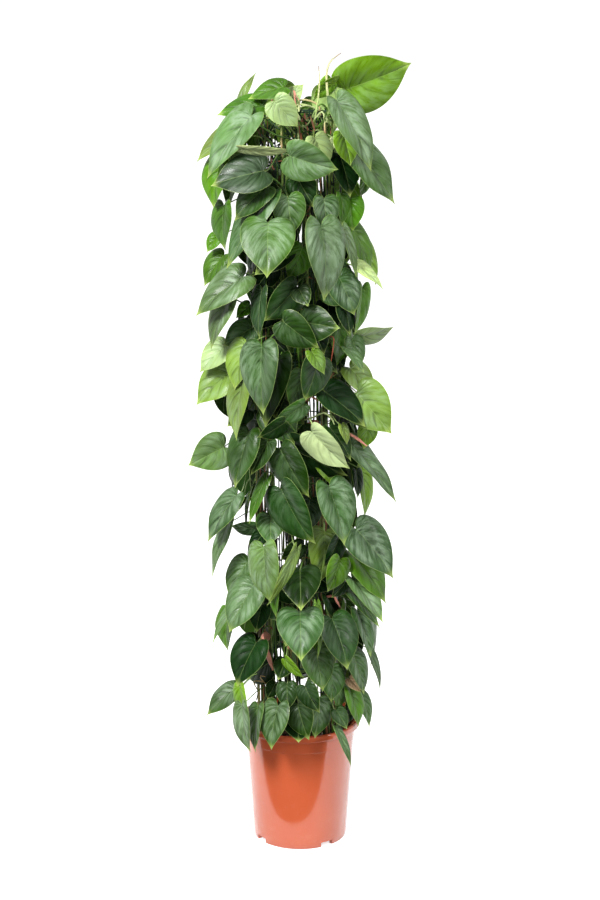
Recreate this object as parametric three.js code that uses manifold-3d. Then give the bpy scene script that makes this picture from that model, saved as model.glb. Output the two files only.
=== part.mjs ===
// Potted heartleaf philodendron: vines that climb a hollow wire-mesh column, in a plastic nursery pot.
// Millimetres, +Z up. The origin is on the ground on the pot's axis, and the front of the plant faces -Y.

import * as THREE from "three";
import { mergeVertices } from "three/addons/utils/BufferGeometryUtils.js";
import Module from "manifold-3d";

// Pot
const POT_SIDES = 28;
const POT_RIM_RADIUS = 124;
const POT_HEIGHT = 253;
const POT_LIP_DEPTH = 13;
const POT_LIP_WALL = 2;
const POT_WALL = 2.2;
const POT_FOOT_RADIUS = 96.6;
const POT_FOOT_INNER_RADIUS = 88;
const POT_FOOT_HEIGHT = 10.6;
const POT_FLOOR_THICKNESS = 2.8;
const POT_TAPER = 0.0704; // radius gained per millimetre of height
const POT_COLLAR_HEIGHT = 213; // where the slightly wider collar starts
const POT_COLLAR_STEP = 0.9;
const POT_NOTCH_WIDTH = 28;
const POT_NOTCH_HEIGHT = 10;
const POT_NOTCH_AZIMUTHS = [35, 125, 215, 305];
const DRAIN_HOLE_RADIUS = 6;
const DRAIN_HOLE_CIRCLE = 66;

// Soil
const SOIL_TOP = 226;
const SOIL_CROWN = 4;
const GAP = 0.3; // between neighbouring pieces

// Wire-mesh column
const CAGE_WIRES = 13;
const CAGE_RINGS = 13;
const CAGE_TOP = 1480;
const CAGE_RING_SPACING = 100;
const CAGE_WIRE_END = 150; // the wires stand this far down in the soil
const CAGE_RADIUS_LOW = 79;
const CAGE_RADIUS_TOP = 70;
const CAGE_LEAN = -15; // sideways offset of the column's top
const WIRE_HALF = 1.5;
const WIRE_DEPTH = 0.8; // from the wire's middle to its flat inner face

// Vines
const VINES = 14;
const STEM_SIDES = 4;
const STEM_RADIUS_LOW = 3.6;
const STEM_RADIUS_TOP = 2.4;
const STEM_STANDOFF = 5.8; // from the ring's line to the stem's centre
const STEM_END = 165;
const STEM_STEPS = 10;
const STEM_WANDER = 6; // degrees round the column
const STEM_TOP_LOW = 1420;
const STEM_TOP_SPREAD = 75;
const LOWEST_NODE = 250;

// Blades and petioles
const BLADE_THICKNESS = 1.7;
const CLEARANCE = 0.5; // a leaf is tried this much fatter before it is placed
const BLADE_FOLD = 0.22; // rise of the margin per millimetre from the midrib
const BLADE_DROOP = 0.1; // fall of the tip, as a share of the length
const CENTRE_HALF = 72; // nearer the axis than this, leaves seen in part are given their whole width
const CENTRE_WIDTH = 0.74; // share of the length as seen
const NEAREST_DEPTH = 122; // from here on little hides a leaf, and its width is as seen
const WIDTH_TO_LENGTH = 0.88;
const MOST_TURNED = [1.3, 2]; // a leaf's most width, in widths as seen, at the axis and at the side
const SIDE = 130; // how far from the axis the side begins
const PETIOLE_RADIUS = 1.0;
const PETIOLE_RADIUS_PER_WIDTH = 0.009;

// Half of the blade's outline from the tip to the notch: share of the length, share of the half width.
const OUTLINE = [[1, 0], [0.84, 0.3], [0.5, 0.9], [0.12, 1], [-0.15, 0.6], [0, 0]];
const MIDRIB = [0.14, 0.56];

// The plant is laid out as it is seen: points on a plane through AIM, seen from EYE.
const VIEW_PITCH = THREE.MathUtils.degToRad(12.2);
const VIEW_DISTANCE = 3600;
const AIM = new THREE.Vector3(0, 0, 814);
const RIGHT = new THREE.Vector3(1, 0, 0);
const UP = new THREE.Vector3(0, Math.sin(VIEW_PITCH), Math.cos(VIEW_PITCH));
const INTO = new THREE.Vector3(0, Math.cos(VIEW_PITCH), -Math.sin(VIEW_PITCH));
const EYE = AIM.clone().addScaledVector(INTO, -VIEW_DISTANCE);

// Leaves on the front and the sides, from the top down: where the petiole meets the blade (x, z) and
// the tip (x, z) on the view plane, the width as seen, and how far the leaf stands in front of the axis.
const FRONT_LEAVES = [
  [92, 722, 222, 772, 110, 10], [74, 698, 148, 560, 58, 130], [106, 606, 190, 492, 66, 76],
  [86, 634, 102, 568, 50, 100], [80, 588, 102, 506, 56, 62], [132, 548, 122, 506, 24, 0],
  [-76, 684, -152, 664, 34, 20], [-98, 668, -190, 546, 62, 80], [-130, 640, -207, 577, 34, 35],
  [-120, 688, -88, 756, 18, 0], [-32, 726, -104, 704, 40, 50], [-24, 696, 6, 732, 36, 20],
  [-50, 696, -4, 646, 60, 100], [62, 738, 28, 702, 30, -10], [60, 724, 78, 744, 18, 20],
  [-88, 648, -100, 600, 42, 20], [-112, 602, -12, 598, 18, 110], [-20, 588, 76, 560, 80, 124],
  [30, 624, 56, 562, 46, 95], [66, 622, 66, 600, 18, 80], [-74, 558, -178, 530, 80, 120],
  [-160, 574, -176, 484, 52, 40], [-68, 526, -132, 460, 60, 104], [-64, 506, -147, 362, 60, 112],
  [-152, 488, -154, 400, 40, 40], [-164, 428, -186, 396, 28, 20], [-64, 454, -66, 350, 110, 150],
  [-24, 504, -16, 428, 68, 110], [4, 404, -22, 340, 54, 100], [48, 502, 52, 430, 48, 95],
  [42, 448, 54, 298, 78, 140], [82, 510, 84, 448, 28, 60], [100, 500, 106, 438, 56, 50],
  [86, 444, 114, 346, 22, 90], [108, 442, 142, 346, 36, 50], [120, 420, 156, 332, 30, 30],
  [112, 370, 168, 324, 24, 70], [-152, 390, -194, 330, 44, 20], [-114, 346, -210, 272, 68, 80],
  [-142, 302, -182, 204, 42, 70], [-100, 290, -128, 264, 28, 60], [-96, 244, -154, 208, 56, 60],
  [-7, 326, -72, 257, 66, 118], [-32, 256, 38, 204, 68, 145], [-76, 208, -74, 70, 76, 150],
  [-106, 210, -134, 122, 56, 80], [-148, 208, -200, 156, 50, 40], [-140, 156, -208, 92, 70, 60],
  [-114, 140, -130, 20, 44, 90], [-44, 182, -74, 46, 66, 105], [6, 152, -20, 82, 52, 115],
  [36, 178, 10, 98, 60, 140], [6, 90, -62, 46, 36, 140], [24, 196, 50, 152, 32, 152],
  [8, 256, 78, 244, 74, 130], [-2, 322, 16, 288, 42, 115], [50, 316, 90, 290, 40, 95],
  [78, 346, 110, 270, 64, 90], [86, 294, 100, 230, 36, 80], [124, 324, 112, 230, 30, 50],
  [116, 226, 188, 242, 34, 30], [104, 222, 118, 160, 40, 60], [92, 204, 130, 156, 22, 90],
  [80, 248, 74, 164, 44, 80], [114, 114, 182, 34, 96, 70], [50, 116, 132, 48, 60, 95],
  [136, 50, 128, 2, 40, 40], [24, 36, 98, -38, 60, 158], [84, 50, 96, 12, 18, 100],
  [60, 44, 104, -20, 34, 110], [104, 10, 194, -104, 40, 60], [-152, 6, -222, -30, 76, 30],
  [-102, 34, -130, -76, 60, 100], [-104, 80, -146, 48, 44, 60], [-32, 54, -84, 24, 36, 110],
  [-64, 16, -98, -50, 48, 120], [-38, 0, 18, -94, 68, 135], [-20, 10, 94, -52, 72, 116],
  [58, -74, 90, -190, 74, 140], [-36, -80, 26, -190, 74, 130], [112, -42, 116, -96, 22, 40],
  [124, -40, 132, -136, 30, 20], [112, -158, 188, -254, 84, 70], [104, -206, 174, -304, 60, 50],
  [104, -256, 166, -344, 40, 80], [96, -274, 160, -356, 30, 60], [114, -322, 142, -414, 36, 50],
  [136, -396, 164, -480, 16, 30], [64, -338, 98, -438, 72, 128], [0, -326, 2, -418, 94, 160],
  [34, -310, 40, -416, 16, 145], [0, -240, 2, -318, 84, 135], [-8, -200, -62, -312, 22, 160],
  [-72, -194, -62, -306, 62, 125], [-58, -134, -60, -190, 60, 105], [-104, -224, -144, -294, 48, 90],
  [-88, -156, -138, -154, 28, 70], [-142, -144, -178, -252, 24, 50], [-126, -90, -186, -182, 44, 60],
  [-114, -96, -136, -136, 20, 80], [-68, -58, -102, -146, 24, 110], [-76, -170, -100, -204, 32, 80],
  [-100, -248, -134, -284, 26, 60], [-92, -270, -142, -364, 72, 110], [-120, -294, -178, -384, 18, 80],
  [-144, -322, -148, -400, 34, 40], [-88, -386, -128, -472, 68, 120], [-128, -476, -186, -530, 40, 60],
  [-120, -474, -104, -556, 26, 100], [-116, -510, -104, -604, 32, 130], [-84, -514, -92, -602, 30, 124],
  [-44, -512, -60, -598, 58, 145], [-4, -510, 16, -580, 56, 150], [-26, -468, -24, -520, 44, 135],
  [36, -498, 32, -576, 56, 140], [10, -472, 38, -526, 44, 158], [30, -400, 46, -482, 66, 135],
  [62, -436, 64, -504, 36, 110], [76, -460, 76, -524, 34, 100], [106, -408, 128, -488, 40, 70],
  [100, -458, 122, -484, 26, 90], [100, -480, 120, -552, 32, 80], [122, -488, 140, -554, 24, 50],
  [72, -520, 94, -558, 32, 125], [74, -556, 104, -632, 16, 135], [-30, -422, -44, -460, 40, 120],
  [-28, -420, 6, -456, 20, 135], [80, -220, 56, -284, 44, 95], [50, -164, 40, -266, 34, 115],
  [76, -180, 48, -236, 36, 85], [4, -190, -38, -220, 32, 110], [90, -264, 64, -296, 28, 90],
  [-50, -276, -48, -334, 22, 130], [-76, -310, -88, -364, 44, 95], [-76, 318, -84, 222, 32, 100],
  [-56, 556, -66, 512, 30, 85], [-50, -468, -66, -498, 30, 100],
];

// Leaves on the back: as many again, spread evenly by a rule.
const BACK_LEAVES = 92;
const BACK_FROM = 80; // azimuths in degrees, from the front towards +X
const BACK_SWEEP = 200;
const BACK_LOWEST = 300;
const BACK_HIGHEST = 1530;
const BACK_TRIES = 14;
const BACK_JITTER = 36; // degrees
const BACK_HALF_SPREAD = 106; // past this, back leaves show only where a front leaf hides them
const BACK_SEED = 20;
const GOLDEN_SHARE = 0.618034;

// Places where one sees right through the column: x from, x to, z from, z to on the view plane.
const WINDOWS = [
  [-6, 14, 420, 450], [30, 54, 530, 550], [10, 40, 64, 106], [-64, -58, 4, 16], [-46, -38, 16, 26],
  [90, 98, -76, -56], [-84, -30, -124, -100], [-34, -8, -190, -150], [80, 114, -256, -206],
  [18, 40, -318, -300], [-106, -88, -356, -344], [-72, -58, -364, -350], [-44, -30, -416, -404],
  [-112, -70, -510, -468], [-74, -34, -504, -490],
];
const WINDOW_EDGE = 4;

// Steps along the line of sight and along the stem that clear a leaf of its neighbours.
const PUSHES = [0, -8, 8, -16, -24, -34, 16, -46, 26, 38, 52, 64, 78, -60];
const BACK_PUSHES = [0, 14, 30, 50, 72];
const NODE_OFFSETS = [14, -12, 40, -40, 70, -75];
const NEAREST_VINES = 3;

const wasm = await Module();
wasm.setup();

const X = new THREE.Vector3(1, 0, 0);
const Z = new THREE.Vector3(0, 0, 1);
const radians = THREE.MathUtils.degToRad;
const vector = (x, y, z) => new THREE.Vector3(x, y, z);
const fraction = (value) => value - Math.floor(value);

// A small generator, so that every build gives the same plant.
function randomSource(seed) {
  let state = seed;
  return () => {
    state = (Math.imul(state, 1664525) + 1013904223) >>> 0;
    return state / 4294967296;
  };
}

// A solid from points and triangles, with its faces turned out.
function solid(points, triangles) {
  let volume = 0;
  for (const [a, b, c] of triangles) {
    volume += points[a].dot(points[b].clone().cross(points[c]));
  }
  const faces = volume < 0 ? triangles.map(([a, b, c]) => [a, c, b]) : triangles;
  const mesh = new wasm.Mesh({
    numProp: 3,
    vertProperties: new Float32Array(points.flatMap((point) => point.toArray())),
    triVerts: new Uint32Array(faces.flat()),
  });
  return new wasm.Manifold(mesh);
}

function solidFromGeometry(source) {
  source.deleteAttribute("normal");
  source.deleteAttribute("uv");
  const geometry = mergeVertices(source, 1e-3);
  const position = geometry.getAttribute("position");
  const index = geometry.getIndex().array;
  const points = [];
  for (let i = 0; i < position.count; i++) points.push(vector().fromBufferAttribute(position, i));
  const triangles = [];
  for (let i = 0; i < index.length; i += 3) {
    const [a, b, c] = [index[i], index[i + 1], index[i + 2]];
    if (a !== b && b !== c && c !== a) triangles.push([a, b, c]);
  }
  return solid(points, triangles);
}

// A solid of revolution about Z from a closed profile of (radius, height).
function turned(profile) {
  const geometry = new THREE.LatheGeometry(profile.map(([r, z]) => new THREE.Vector2(r, z)), POT_SIDES);
  return solidFromGeometry(geometry.rotateX(Math.PI / 2));
}

// A tapering tube of few sides through the given points, closed at both ends.
function tube(path, radii, sides) {
  const points = [];
  const triangles = [];
  const tangents = path.map((_, i) => {
    const from = path[Math.max(i - 1, 0)];
    const to = path[Math.min(i + 1, path.length - 1)];
    return to.clone().sub(from).normalize();
  });
  const first = Math.abs(tangents[0].z) < 0.9 ? Z : X;
  let side = first.clone().cross(tangents[0]).normalize();
  path.forEach((centre, i) => {
    side = side.clone().addScaledVector(tangents[i], -side.dot(tangents[i])).normalize();
    const other = tangents[i].clone().cross(side);
    for (let k = 0; k < sides; k++) {
      const angle = (2 * Math.PI * k) / sides;
      points.push(centre.clone().addScaledVector(side, radii[i] * Math.cos(angle))
        .addScaledVector(other, radii[i] * Math.sin(angle)));
    }
  });
  for (let i = 0; i + 1 < path.length; i++) {
    for (let k = 0; k < sides; k++) {
      const next = (k + 1) % sides;
      const [a, b] = [i * sides + k, i * sides + next];
      triangles.push([a, b, b + sides], [a, b + sides, a + sides]);
    }
  }
  const last = (path.length - 1) * sides;
  for (let k = 1; k + 1 < sides; k++) {
    triangles.push([0, k + 1, k], [last, last + k, last + k + 1]);
  }
  return solid(points, triangles);
}

const outwardAt = (azimuth) => vector(Math.sin(azimuth), -Math.cos(azimuth), 0);
const columnShare = (z) => (z - SOIL_TOP) / (CAGE_TOP - SOIL_TOP);
const columnRadius = (z) => THREE.MathUtils.lerp(CAGE_RADIUS_LOW, CAGE_RADIUS_TOP, columnShare(z));
const columnAxis = (z) => vector(CAGE_LEAN * columnShare(z), 0, z);

// The pot

function makePot() {
  const outer = (z) => POT_FOOT_RADIUS + POT_TAPER * z;
  const floorTop = POT_FOOT_HEIGHT + POT_FLOOR_THICKNESS;
  const lipBottom = POT_HEIGHT - POT_LIP_DEPTH;
  const flange = POT_HEIGHT - POT_LIP_WALL - 3;
  const collar = outer(POT_COLLAR_HEIGHT) + POT_COLLAR_STEP;
  const pot = turned([
    [POT_FOOT_INNER_RADIUS, 0],
    [POT_FOOT_RADIUS, 0],
    [outer(POT_FOOT_HEIGHT), POT_FOOT_HEIGHT],
    [outer(POT_COLLAR_HEIGHT - 1), POT_COLLAR_HEIGHT - 1],
    [collar, POT_COLLAR_HEIGHT],
    [collar + POT_TAPER * (flange - POT_COLLAR_HEIGHT), flange],
    [POT_RIM_RADIUS - POT_LIP_WALL, flange],
    [POT_RIM_RADIUS - POT_LIP_WALL, lipBottom],
    [POT_RIM_RADIUS, lipBottom],
    [POT_RIM_RADIUS, POT_HEIGHT - 3],
    [POT_RIM_RADIUS - 3, POT_HEIGHT],
    [outer(POT_HEIGHT - 2) - POT_WALL + 1, POT_HEIGHT - 2],
    [outer(POT_HEIGHT - 8) - POT_WALL, POT_HEIGHT - 8],
    [outer(floorTop) - POT_WALL, floorTop],
    [0, floorTop],
    [0, POT_FOOT_HEIGHT],
    [POT_FOOT_INNER_RADIUS, POT_FOOT_HEIGHT],
    [POT_FOOT_INNER_RADIUS, 0],
  ]);
  const cuts = POT_NOTCH_AZIMUTHS.flatMap((degrees) => {
    const azimuth = radians(degrees);
    const middle = outwardAt(azimuth).multiplyScalar(POT_FOOT_RADIUS);
    const notch = new THREE.BoxGeometry(POT_NOTCH_WIDTH, 40, POT_NOTCH_HEIGHT * 2);
    notch.rotateZ(azimuth).translate(middle.x, middle.y, 0);
    const drain = new THREE.CylinderGeometry(DRAIN_HOLE_RADIUS, DRAIN_HOLE_RADIUS, 20, 8);
    const spot = outwardAt(azimuth).multiplyScalar(DRAIN_HOLE_CIRCLE);
    drain.rotateX(Math.PI / 2).translate(spot.x, spot.y, POT_FOOT_HEIGHT);
    return [solidFromGeometry(notch), solidFromGeometry(drain)];
  });
  return cuts.reduce((body, cut) => body.subtract(cut), pot);
}

// The wire-mesh column, as one closed net of three-sided wires

function makeCage() {
  const points = [];
  const triangles = [];
  const add = (point) => points.push(point) - 1;
  const centreOf = (corners) => corners
    .reduce((sum, id) => sum.add(points[id]), vector(0, 0, 0)).divideScalar(corners.length);
  const face = (corners, inside) => {
    const [a, b, c] = corners.map((id) => points[id]);
    const normal = b.clone().sub(a).cross(c.clone().sub(a));
    const turnedOut = normal.dot(centreOf(corners).sub(inside)) > 0;
    const loop = turnedOut ? corners : [...corners].reverse();
    for (let k = 1; k + 1 < loop.length; k++) triangles.push([loop[0], loop[k], loop[k + 1]]);
  };
  const bar = (from, to) => {
    const inside = centreOf([...from, ...to]);
    for (let k = 0; k < 3; k++) {
      const next = (k + 1) % 3;
      face([from[k], from[next], to[next], to[k]], inside);
    }
  };
  // A crossing has one corner outside and four inside, so that each of its four wires is a prism.
  const crossing = (i, z) => {
    const azimuth = (2 * Math.PI * i) / CAGE_WIRES;
    const out = outwardAt(azimuth);
    const along = vector(Math.cos(azimuth), Math.sin(azimuth), 0);
    const middle = columnAxis(z).addScaledVector(out, columnRadius(z));
    const corner = (across, up) => add(middle.clone().addScaledVector(out, -WIRE_DEPTH)
      .addScaledVector(along, across * WIRE_HALF).addScaledVector(Z, up * WIRE_HALF));
    return {
      middle,
      outside: add(middle.clone().addScaledVector(out, WIRE_HALF)),
      upperLeft: corner(-1, 1),
      upperRight: corner(1, 1),
      lowerLeft: corner(-1, -1),
      lowerRight: corner(1, -1),
    };
  };
  const rings = [];
  for (let j = 0; j < CAGE_RINGS; j++) {
    rings.push(Array.from({ length: CAGE_WIRES }, (_, i) => crossing(i, CAGE_TOP - j * CAGE_RING_SPACING)));
  }
  rings.forEach((ring, j) => ring.forEach((here, i) => {
    face([here.upperLeft, here.upperRight, here.lowerRight, here.lowerLeft], points[here.outside]);
    const next = ring[(i + 1) % CAGE_WIRES];
    bar([here.outside, here.upperRight, here.lowerRight], [next.outside, next.upperLeft, next.lowerLeft]);
    if (j === 0) face([here.outside, here.upperLeft, here.upperRight], points[here.lowerLeft]);
    const down = [here.outside, here.lowerLeft, here.lowerRight];
    if (j + 1 < CAGE_RINGS) {
      const below = rings[j + 1][i];
      bar(down, [below.outside, below.upperLeft, below.upperRight]);
    } else {
      const end = down.map((id) => add(vector(points[id].x, points[id].y, CAGE_WIRE_END)));
      bar(down, end);
      face(end, here.middle);
    }
  }));
  return solid(points, triangles);
}

// The vines

const vineAzimuth = (vine) => (2 * Math.PI * (vine + 0.5)) / VINES;
const vineTop = (vine) => STEM_TOP_LOW + STEM_TOP_SPREAD * fraction(vine * GOLDEN_SHARE);

function stemPoint(vine, z) {
  const wander = radians(STEM_WANDER) * Math.sin(z / 150 + vine * 1.7) * Math.min(1, (z - SOIL_TOP) / 200);
  const azimuth = vineAzimuth(vine) + (z > SOIL_TOP ? wander : 0);
  return columnAxis(z).addScaledVector(outwardAt(azimuth), columnRadius(z) + STEM_STANDOFF);
}

function makeStem(vine) {
  const path = [stemPoint(vine, STEM_END), stemPoint(vine, SOIL_TOP)];
  for (let step = 1; step <= STEM_STEPS; step++) {
    path.push(stemPoint(vine, THREE.MathUtils.lerp(SOIL_TOP, vineTop(vine), step / STEM_STEPS)));
  }
  path[0].set(path[1].x, path[1].y, STEM_END);
  const radii = path.map((_, i) => THREE.MathUtils
    .lerp(STEM_RADIUS_LOW, STEM_RADIUS_TOP, Math.max(i - 1, 0) / STEM_STEPS));
  return tube(path, radii, STEM_SIDES);
}

// A leaf as it is seen: its petiole's end lies on the line of sight, at the given depth.
function frontLeaf([baseX, baseZ, tipX, tipZ, width, depth], push) {
  const basePlane = AIM.clone().addScaledVector(RIGHT, baseX).addScaledVector(UP, baseZ);
  const tipPlane = AIM.clone().addScaledVector(RIGHT, tipX).addScaledVector(UP, tipZ);
  const ray = basePlane.clone().sub(EYE);
  const scale = (-(depth + push) - EYE.y) / ray.y;
  const base = EYE.clone().addScaledVector(ray, scale);
  const towards = EYE.clone().sub(base).normalize();
  const seen = tipPlane.sub(basePlane).multiplyScalar(scale);
  seen.addScaledVector(towards, -seen.dot(towards));
  const seenLength = seen.length();
  const central = Math.max(Math.abs(baseX), Math.abs(tipX)) < CENTRE_HALF && depth < NEAREST_DEPTH;
  const least = central ? CENTRE_WIDTH * seenLength : 0;
  const seenWidth = Math.max(width * scale, least);
  const length = Math.max(seenLength, (seenWidth / WIDTH_TO_LENGTH) * 0.97);
  const mostTurned = THREE.MathUtils.lerp(...MOST_TURNED, Math.min(1, Math.abs(baseX) / SIDE));
  const fullWidth = Math.max(seenWidth, Math.min(WIDTH_TO_LENGTH * length, mostTurned * seenWidth));
  const tilt = Math.acos(Math.min(1, seenLength / length));
  const roll = Math.acos(Math.min(1, seenWidth / fullWidth));
  const flat = seen.normalize();
  const chord = flat.clone().multiplyScalar(Math.cos(tilt)).addScaledVector(towards, Math.sin(tilt));
  const facing = towards.clone().multiplyScalar(Math.cos(tilt)).addScaledVector(flat, -Math.sin(tilt));
  const across = chord.clone().cross(facing);
  const outwards = across.dot(base.clone().sub(columnAxis(base.z))) < 0 ? -1 : 1;
  const rolled = facing.clone().multiplyScalar(Math.cos(roll))
    .addScaledVector(across, outwards * Math.sin(roll));
  // The blade leaves its petiole rising a little, so that its drooping tip ends on the chord.
  const rise = Math.atan(BLADE_DROOP);
  const along = chord.clone().multiplyScalar(Math.cos(rise)).addScaledVector(rolled, Math.sin(rise));
  const up = rolled.clone().multiplyScalar(Math.cos(rise)).addScaledVector(chord, -Math.sin(rise));
  return { base, along, up, side: along.clone().cross(up), length, width: fullWidth };
}

// A leaf on the back: it hangs outwards and down from its petiole, turned a little to one side.
function backLeaf(number, draws, push) {
  const [radiusDraw, lengthDraw, leanDraw, turnDraw, rollDraw, heightDraw, jitterDraw] = draws;
  const jitter = BACK_JITTER * (jitterDraw - 0.5);
  const azimuth = radians(BACK_FROM + BACK_SWEEP * fraction(number * GOLDEN_SHARE) + jitter);
  const share = (number + 0.2 + 0.6 * heightDraw) / BACK_LEAVES;
  const height = THREE.MathUtils.lerp(BACK_LOWEST, BACK_HIGHEST, share);
  const out = outwardAt(azimuth);
  const sideways = Math.abs(out.x);
  const standing = THREE.MathUtils.lerp(38 + 60 * radiusDraw, 20 + 24 * radiusDraw, sideways);
  const distance = columnRadius(height) + standing + push * (1 - 0.6 * sideways);
  const base = columnAxis(height).addScaledVector(out, distance);
  const length = 84 + 52 * lengthDraw;
  const lean = radians(THREE.MathUtils.lerp(8 + 34 * leanDraw, 2 + 12 * leanDraw, sideways));
  const turn = radians(60 * (turnDraw - 0.5));
  const hang = out.clone().multiplyScalar(Math.sin(lean)).addScaledVector(Z, -Math.cos(lean));
  const along = hang.applyAxisAngle(out, turn);
  const face = out.clone().addScaledVector(Z, 0.3);
  face.addScaledVector(along, -face.dot(along)).normalize();
  const up = face.applyAxisAngle(along, radians(50 * (rollDraw - 0.5)));
  const width = length * WIDTH_TO_LENGTH;
  return { base, along, up, side: along.clone().cross(up), length, width };
}

// A point of the blade: u runs from the petiole to the tip, v from margin to margin.
function bladePoint(leaf, u, v, lift = 0) {
  const halfWidth = leaf.width / 2;
  const rise = BLADE_FOLD * Math.abs(v) * halfWidth - BLADE_DROOP * leaf.length * u * Math.abs(u);
  return leaf.base.clone().addScaledVector(leaf.along, u * leaf.length)
    .addScaledVector(leaf.side, v * halfWidth).addScaledVector(leaf.up, rise + lift);
}

// The petiole leaves the stem outwards and upwards and meets the blade's underside in the notch.
function petiolePath(vine, height, leaf) {
  const root = stemPoint(vine, height);
  const out = root.clone().sub(columnAxis(height)).normalize();
  const reach = root.distanceTo(leaf.base);
  const first = root.clone().addScaledVector(out, 0.35 * reach).addScaledVector(Z, 0.2 * reach);
  const second = leaf.base.clone().addScaledVector(leaf.up, -Math.min(0.3 * reach, 22))
    .addScaledVector(leaf.along, -Math.min(0.2 * reach, 14));
  return [root, new THREE.CubicBezierCurve3(root, first, second, leaf.base).getPoint(0.55), leaf.base];
}

// A leaf in one closed mesh: its three-sided petiole opens into the underside of the blade.
function makeLeaf(leaf, path, extra = 0) {
  const thickness = BLADE_THICKNESS + 2.4 * extra;
  const spread = 1 + 0.04 * extra;
  const radius = PETIOLE_RADIUS + PETIOLE_RADIUS_PER_WIDTH * leaf.width + extra;
  const points = [];
  const triangles = [];
  const add = (point) => points.push(point) - 1;
  const at = (u, v, lift) => add(bladePoint(leaf, 0.4 + (u - 0.4) * spread, v * spread, lift));
  const tip = at(1, 0, 0);
  const notchHalf = radius / (leaf.width / 2);
  const sides = [1, -1].map((way) => [tip, ...OUTLINE.slice(1, -1).map(([u, v]) => at(u, way * v, 0)),
    at(0, way * notchHalf, 0)]);
  const joint = at(0.05, 0, -thickness / 2);
  for (const face of [1, -1]) {
    const near = at(MIDRIB[0], 0, (face * thickness) / 2);
    const far = at(MIDRIB[1], 0, (face * thickness) / 2);
    sides.forEach((order, number) => {
      const turned = face * (number === 0 ? 1 : -1) > 0;
      const push = (a, b, c) => triangles.push(turned ? [a, b, c] : [a, c, b]);
      for (let k = 0; k + 1 < order.length; k++) push(order[k], order[k + 1], k < 2 ? far : near);
      push(order[2], near, far);
      if (face < 0) push(order.at(-1), joint, near);
    });
    if (face > 0) triangles.push([sides[0].at(-1), sides[1].at(-1), near]);
  }
  // The petiole's rings, from the opening in the blade back to the root.
  let ring = [sides[1].at(-1), sides[0].at(-1), joint];
  let side = leaf.side.clone();
  [[path[1], 1], [path[0], 1.15]].forEach(([centre, share], i) => {
    const tangent = (i === 0 ? path[2].clone().sub(path[0]) : path[1].clone().sub(path[0])).normalize();
    side = side.clone().addScaledVector(tangent, -side.dot(tangent)).normalize();
    const other = tangent.clone().cross(side);
    const corner = (across, forward) => add(centre.clone().addScaledVector(side, across * radius * share)
      .addScaledVector(other, forward * radius * share));
    const next = [corner(-0.87, -0.5), corner(0.87, -0.5), corner(0, 1)];
    for (let k = 0; k < 3; k++) {
      const m = (k + 1) % 3;
      triangles.push([ring[k], ring[m], next[m]], [ring[k], next[m], next[k]]);
    }
    ring = next;
  });
  triangles.push([ring[0], ring[1], ring[2]]);
  return solid(points, triangles);
}

// New shoots at the top: a sheathed tip that bends over, and a thin spike.
const SHOOTS = [
  { vine: 2, points: [[56, 700], [53, 748], [60, 776], [82, 794]], depth: 38, radii: [3.2, 3.6, 3.2, 0.8] },
  { vine: 1, points: [[36, 700], [39, 740], [37, 768]], depth: 64, radii: [2.6, 2.2, 0.7] },
];

function shootPath({ points, depth }) {
  return points.map(([x, z]) => {
    const plane = AIM.clone().addScaledVector(RIGHT, x).addScaledVector(UP, z);
    const ray = plane.sub(EYE);
    return EYE.clone().addScaledVector(ray, (-depth - EYE.y) / ray.y);
  });
}

// Where a point lies on the view plane.
function seenAt(point) {
  const ray = point.clone().sub(EYE);
  const scale = VIEW_DISTANCE / ray.dot(INTO);
  return [ray.dot(RIGHT) * scale, ray.dot(UP) * scale];
}

const outlineLoop = () => [...OUTLINE, ...OUTLINE.slice(1, -1).reverse().map(([u, v]) => [u, -v])];
const seenOutline = (leaf) => outlineLoop().map(([u, v]) => seenAt(bladePoint(leaf, u, v)));

function covers(outline, x, z) {
  let inside = false;
  outline.forEach(([x1, z1], i) => {
    const [x2, z2] = outline[(i + 1) % outline.length];
    if (z1 > z !== z2 > z && x < x1 + ((z - z1) / (z2 - z1)) * (x2 - x1)) inside = !inside;
  });
  return inside;
}

const frontOutlines = [];

const isIn = ([left, right, low, high], x, z) => x > left - WINDOW_EDGE && x < right + WINDOW_EDGE
  && z > low - WINDOW_EDGE && z < high + WINDOW_EDGE;

// Whether a back leaf would close a window or stick out past the front leaves.
function showsWhereItShouldNot(leaf) {
  for (const u of [-0.12, 0.05, 0.25, 0.45, 0.65, 0.85, 1]) {
    for (const v of [-0.9, -0.45, 0, 0.45, 0.9]) {
      if (Math.abs(v) > 1.25 * (1 - u)) continue;
      const [x, z] = seenAt(bladePoint(leaf, u, v));
      const sticksOut = !frontOutlines.some((outline) => covers(outline, x, z));
      if (Math.abs(x) > BACK_HALF_SPREAD && sticksOut) return true;
      if (WINDOWS.some((window) => isIn(window, x, z))) return true;
    }
  }
  return false;
}

const boxOf = (body) => {
  const { min, max } = body.boundingBox();
  return new THREE.Box3(vector(...min), vector(...max));
};

// Putting the plant together

const pot = makePot();
const cage = makeCage();
const placed = [pot, cage].map((body) => ({ body, box: boxOf(body), vine: -1 }));
const stems = [];
for (let vine = 0; vine < VINES; vine++) {
  const body = makeStem(vine);
  stems.push(body);
  placed.push({ body, box: boxOf(body), vine, isStem: true });
}
const soilBlock = turned([
  [0, POT_FOOT_HEIGHT + POT_FLOOR_THICKNESS + GAP],
  [POT_FOOT_RADIUS + POT_TAPER * (POT_FOOT_HEIGHT + POT_FLOOR_THICKNESS + GAP) - POT_WALL - GAP,
    POT_FOOT_HEIGHT + POT_FLOOR_THICKNESS + GAP],
  [POT_FOOT_RADIUS + POT_TAPER * SOIL_TOP - POT_WALL - GAP, SOIL_TOP - SOIL_CROWN],
  [0, SOIL_TOP],
  [0, POT_FOOT_HEIGHT + POT_FLOOR_THICKNESS + GAP],
]);
placed.push({ body: soilBlock, box: boxOf(soilBlock), vine: -1 });

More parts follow.
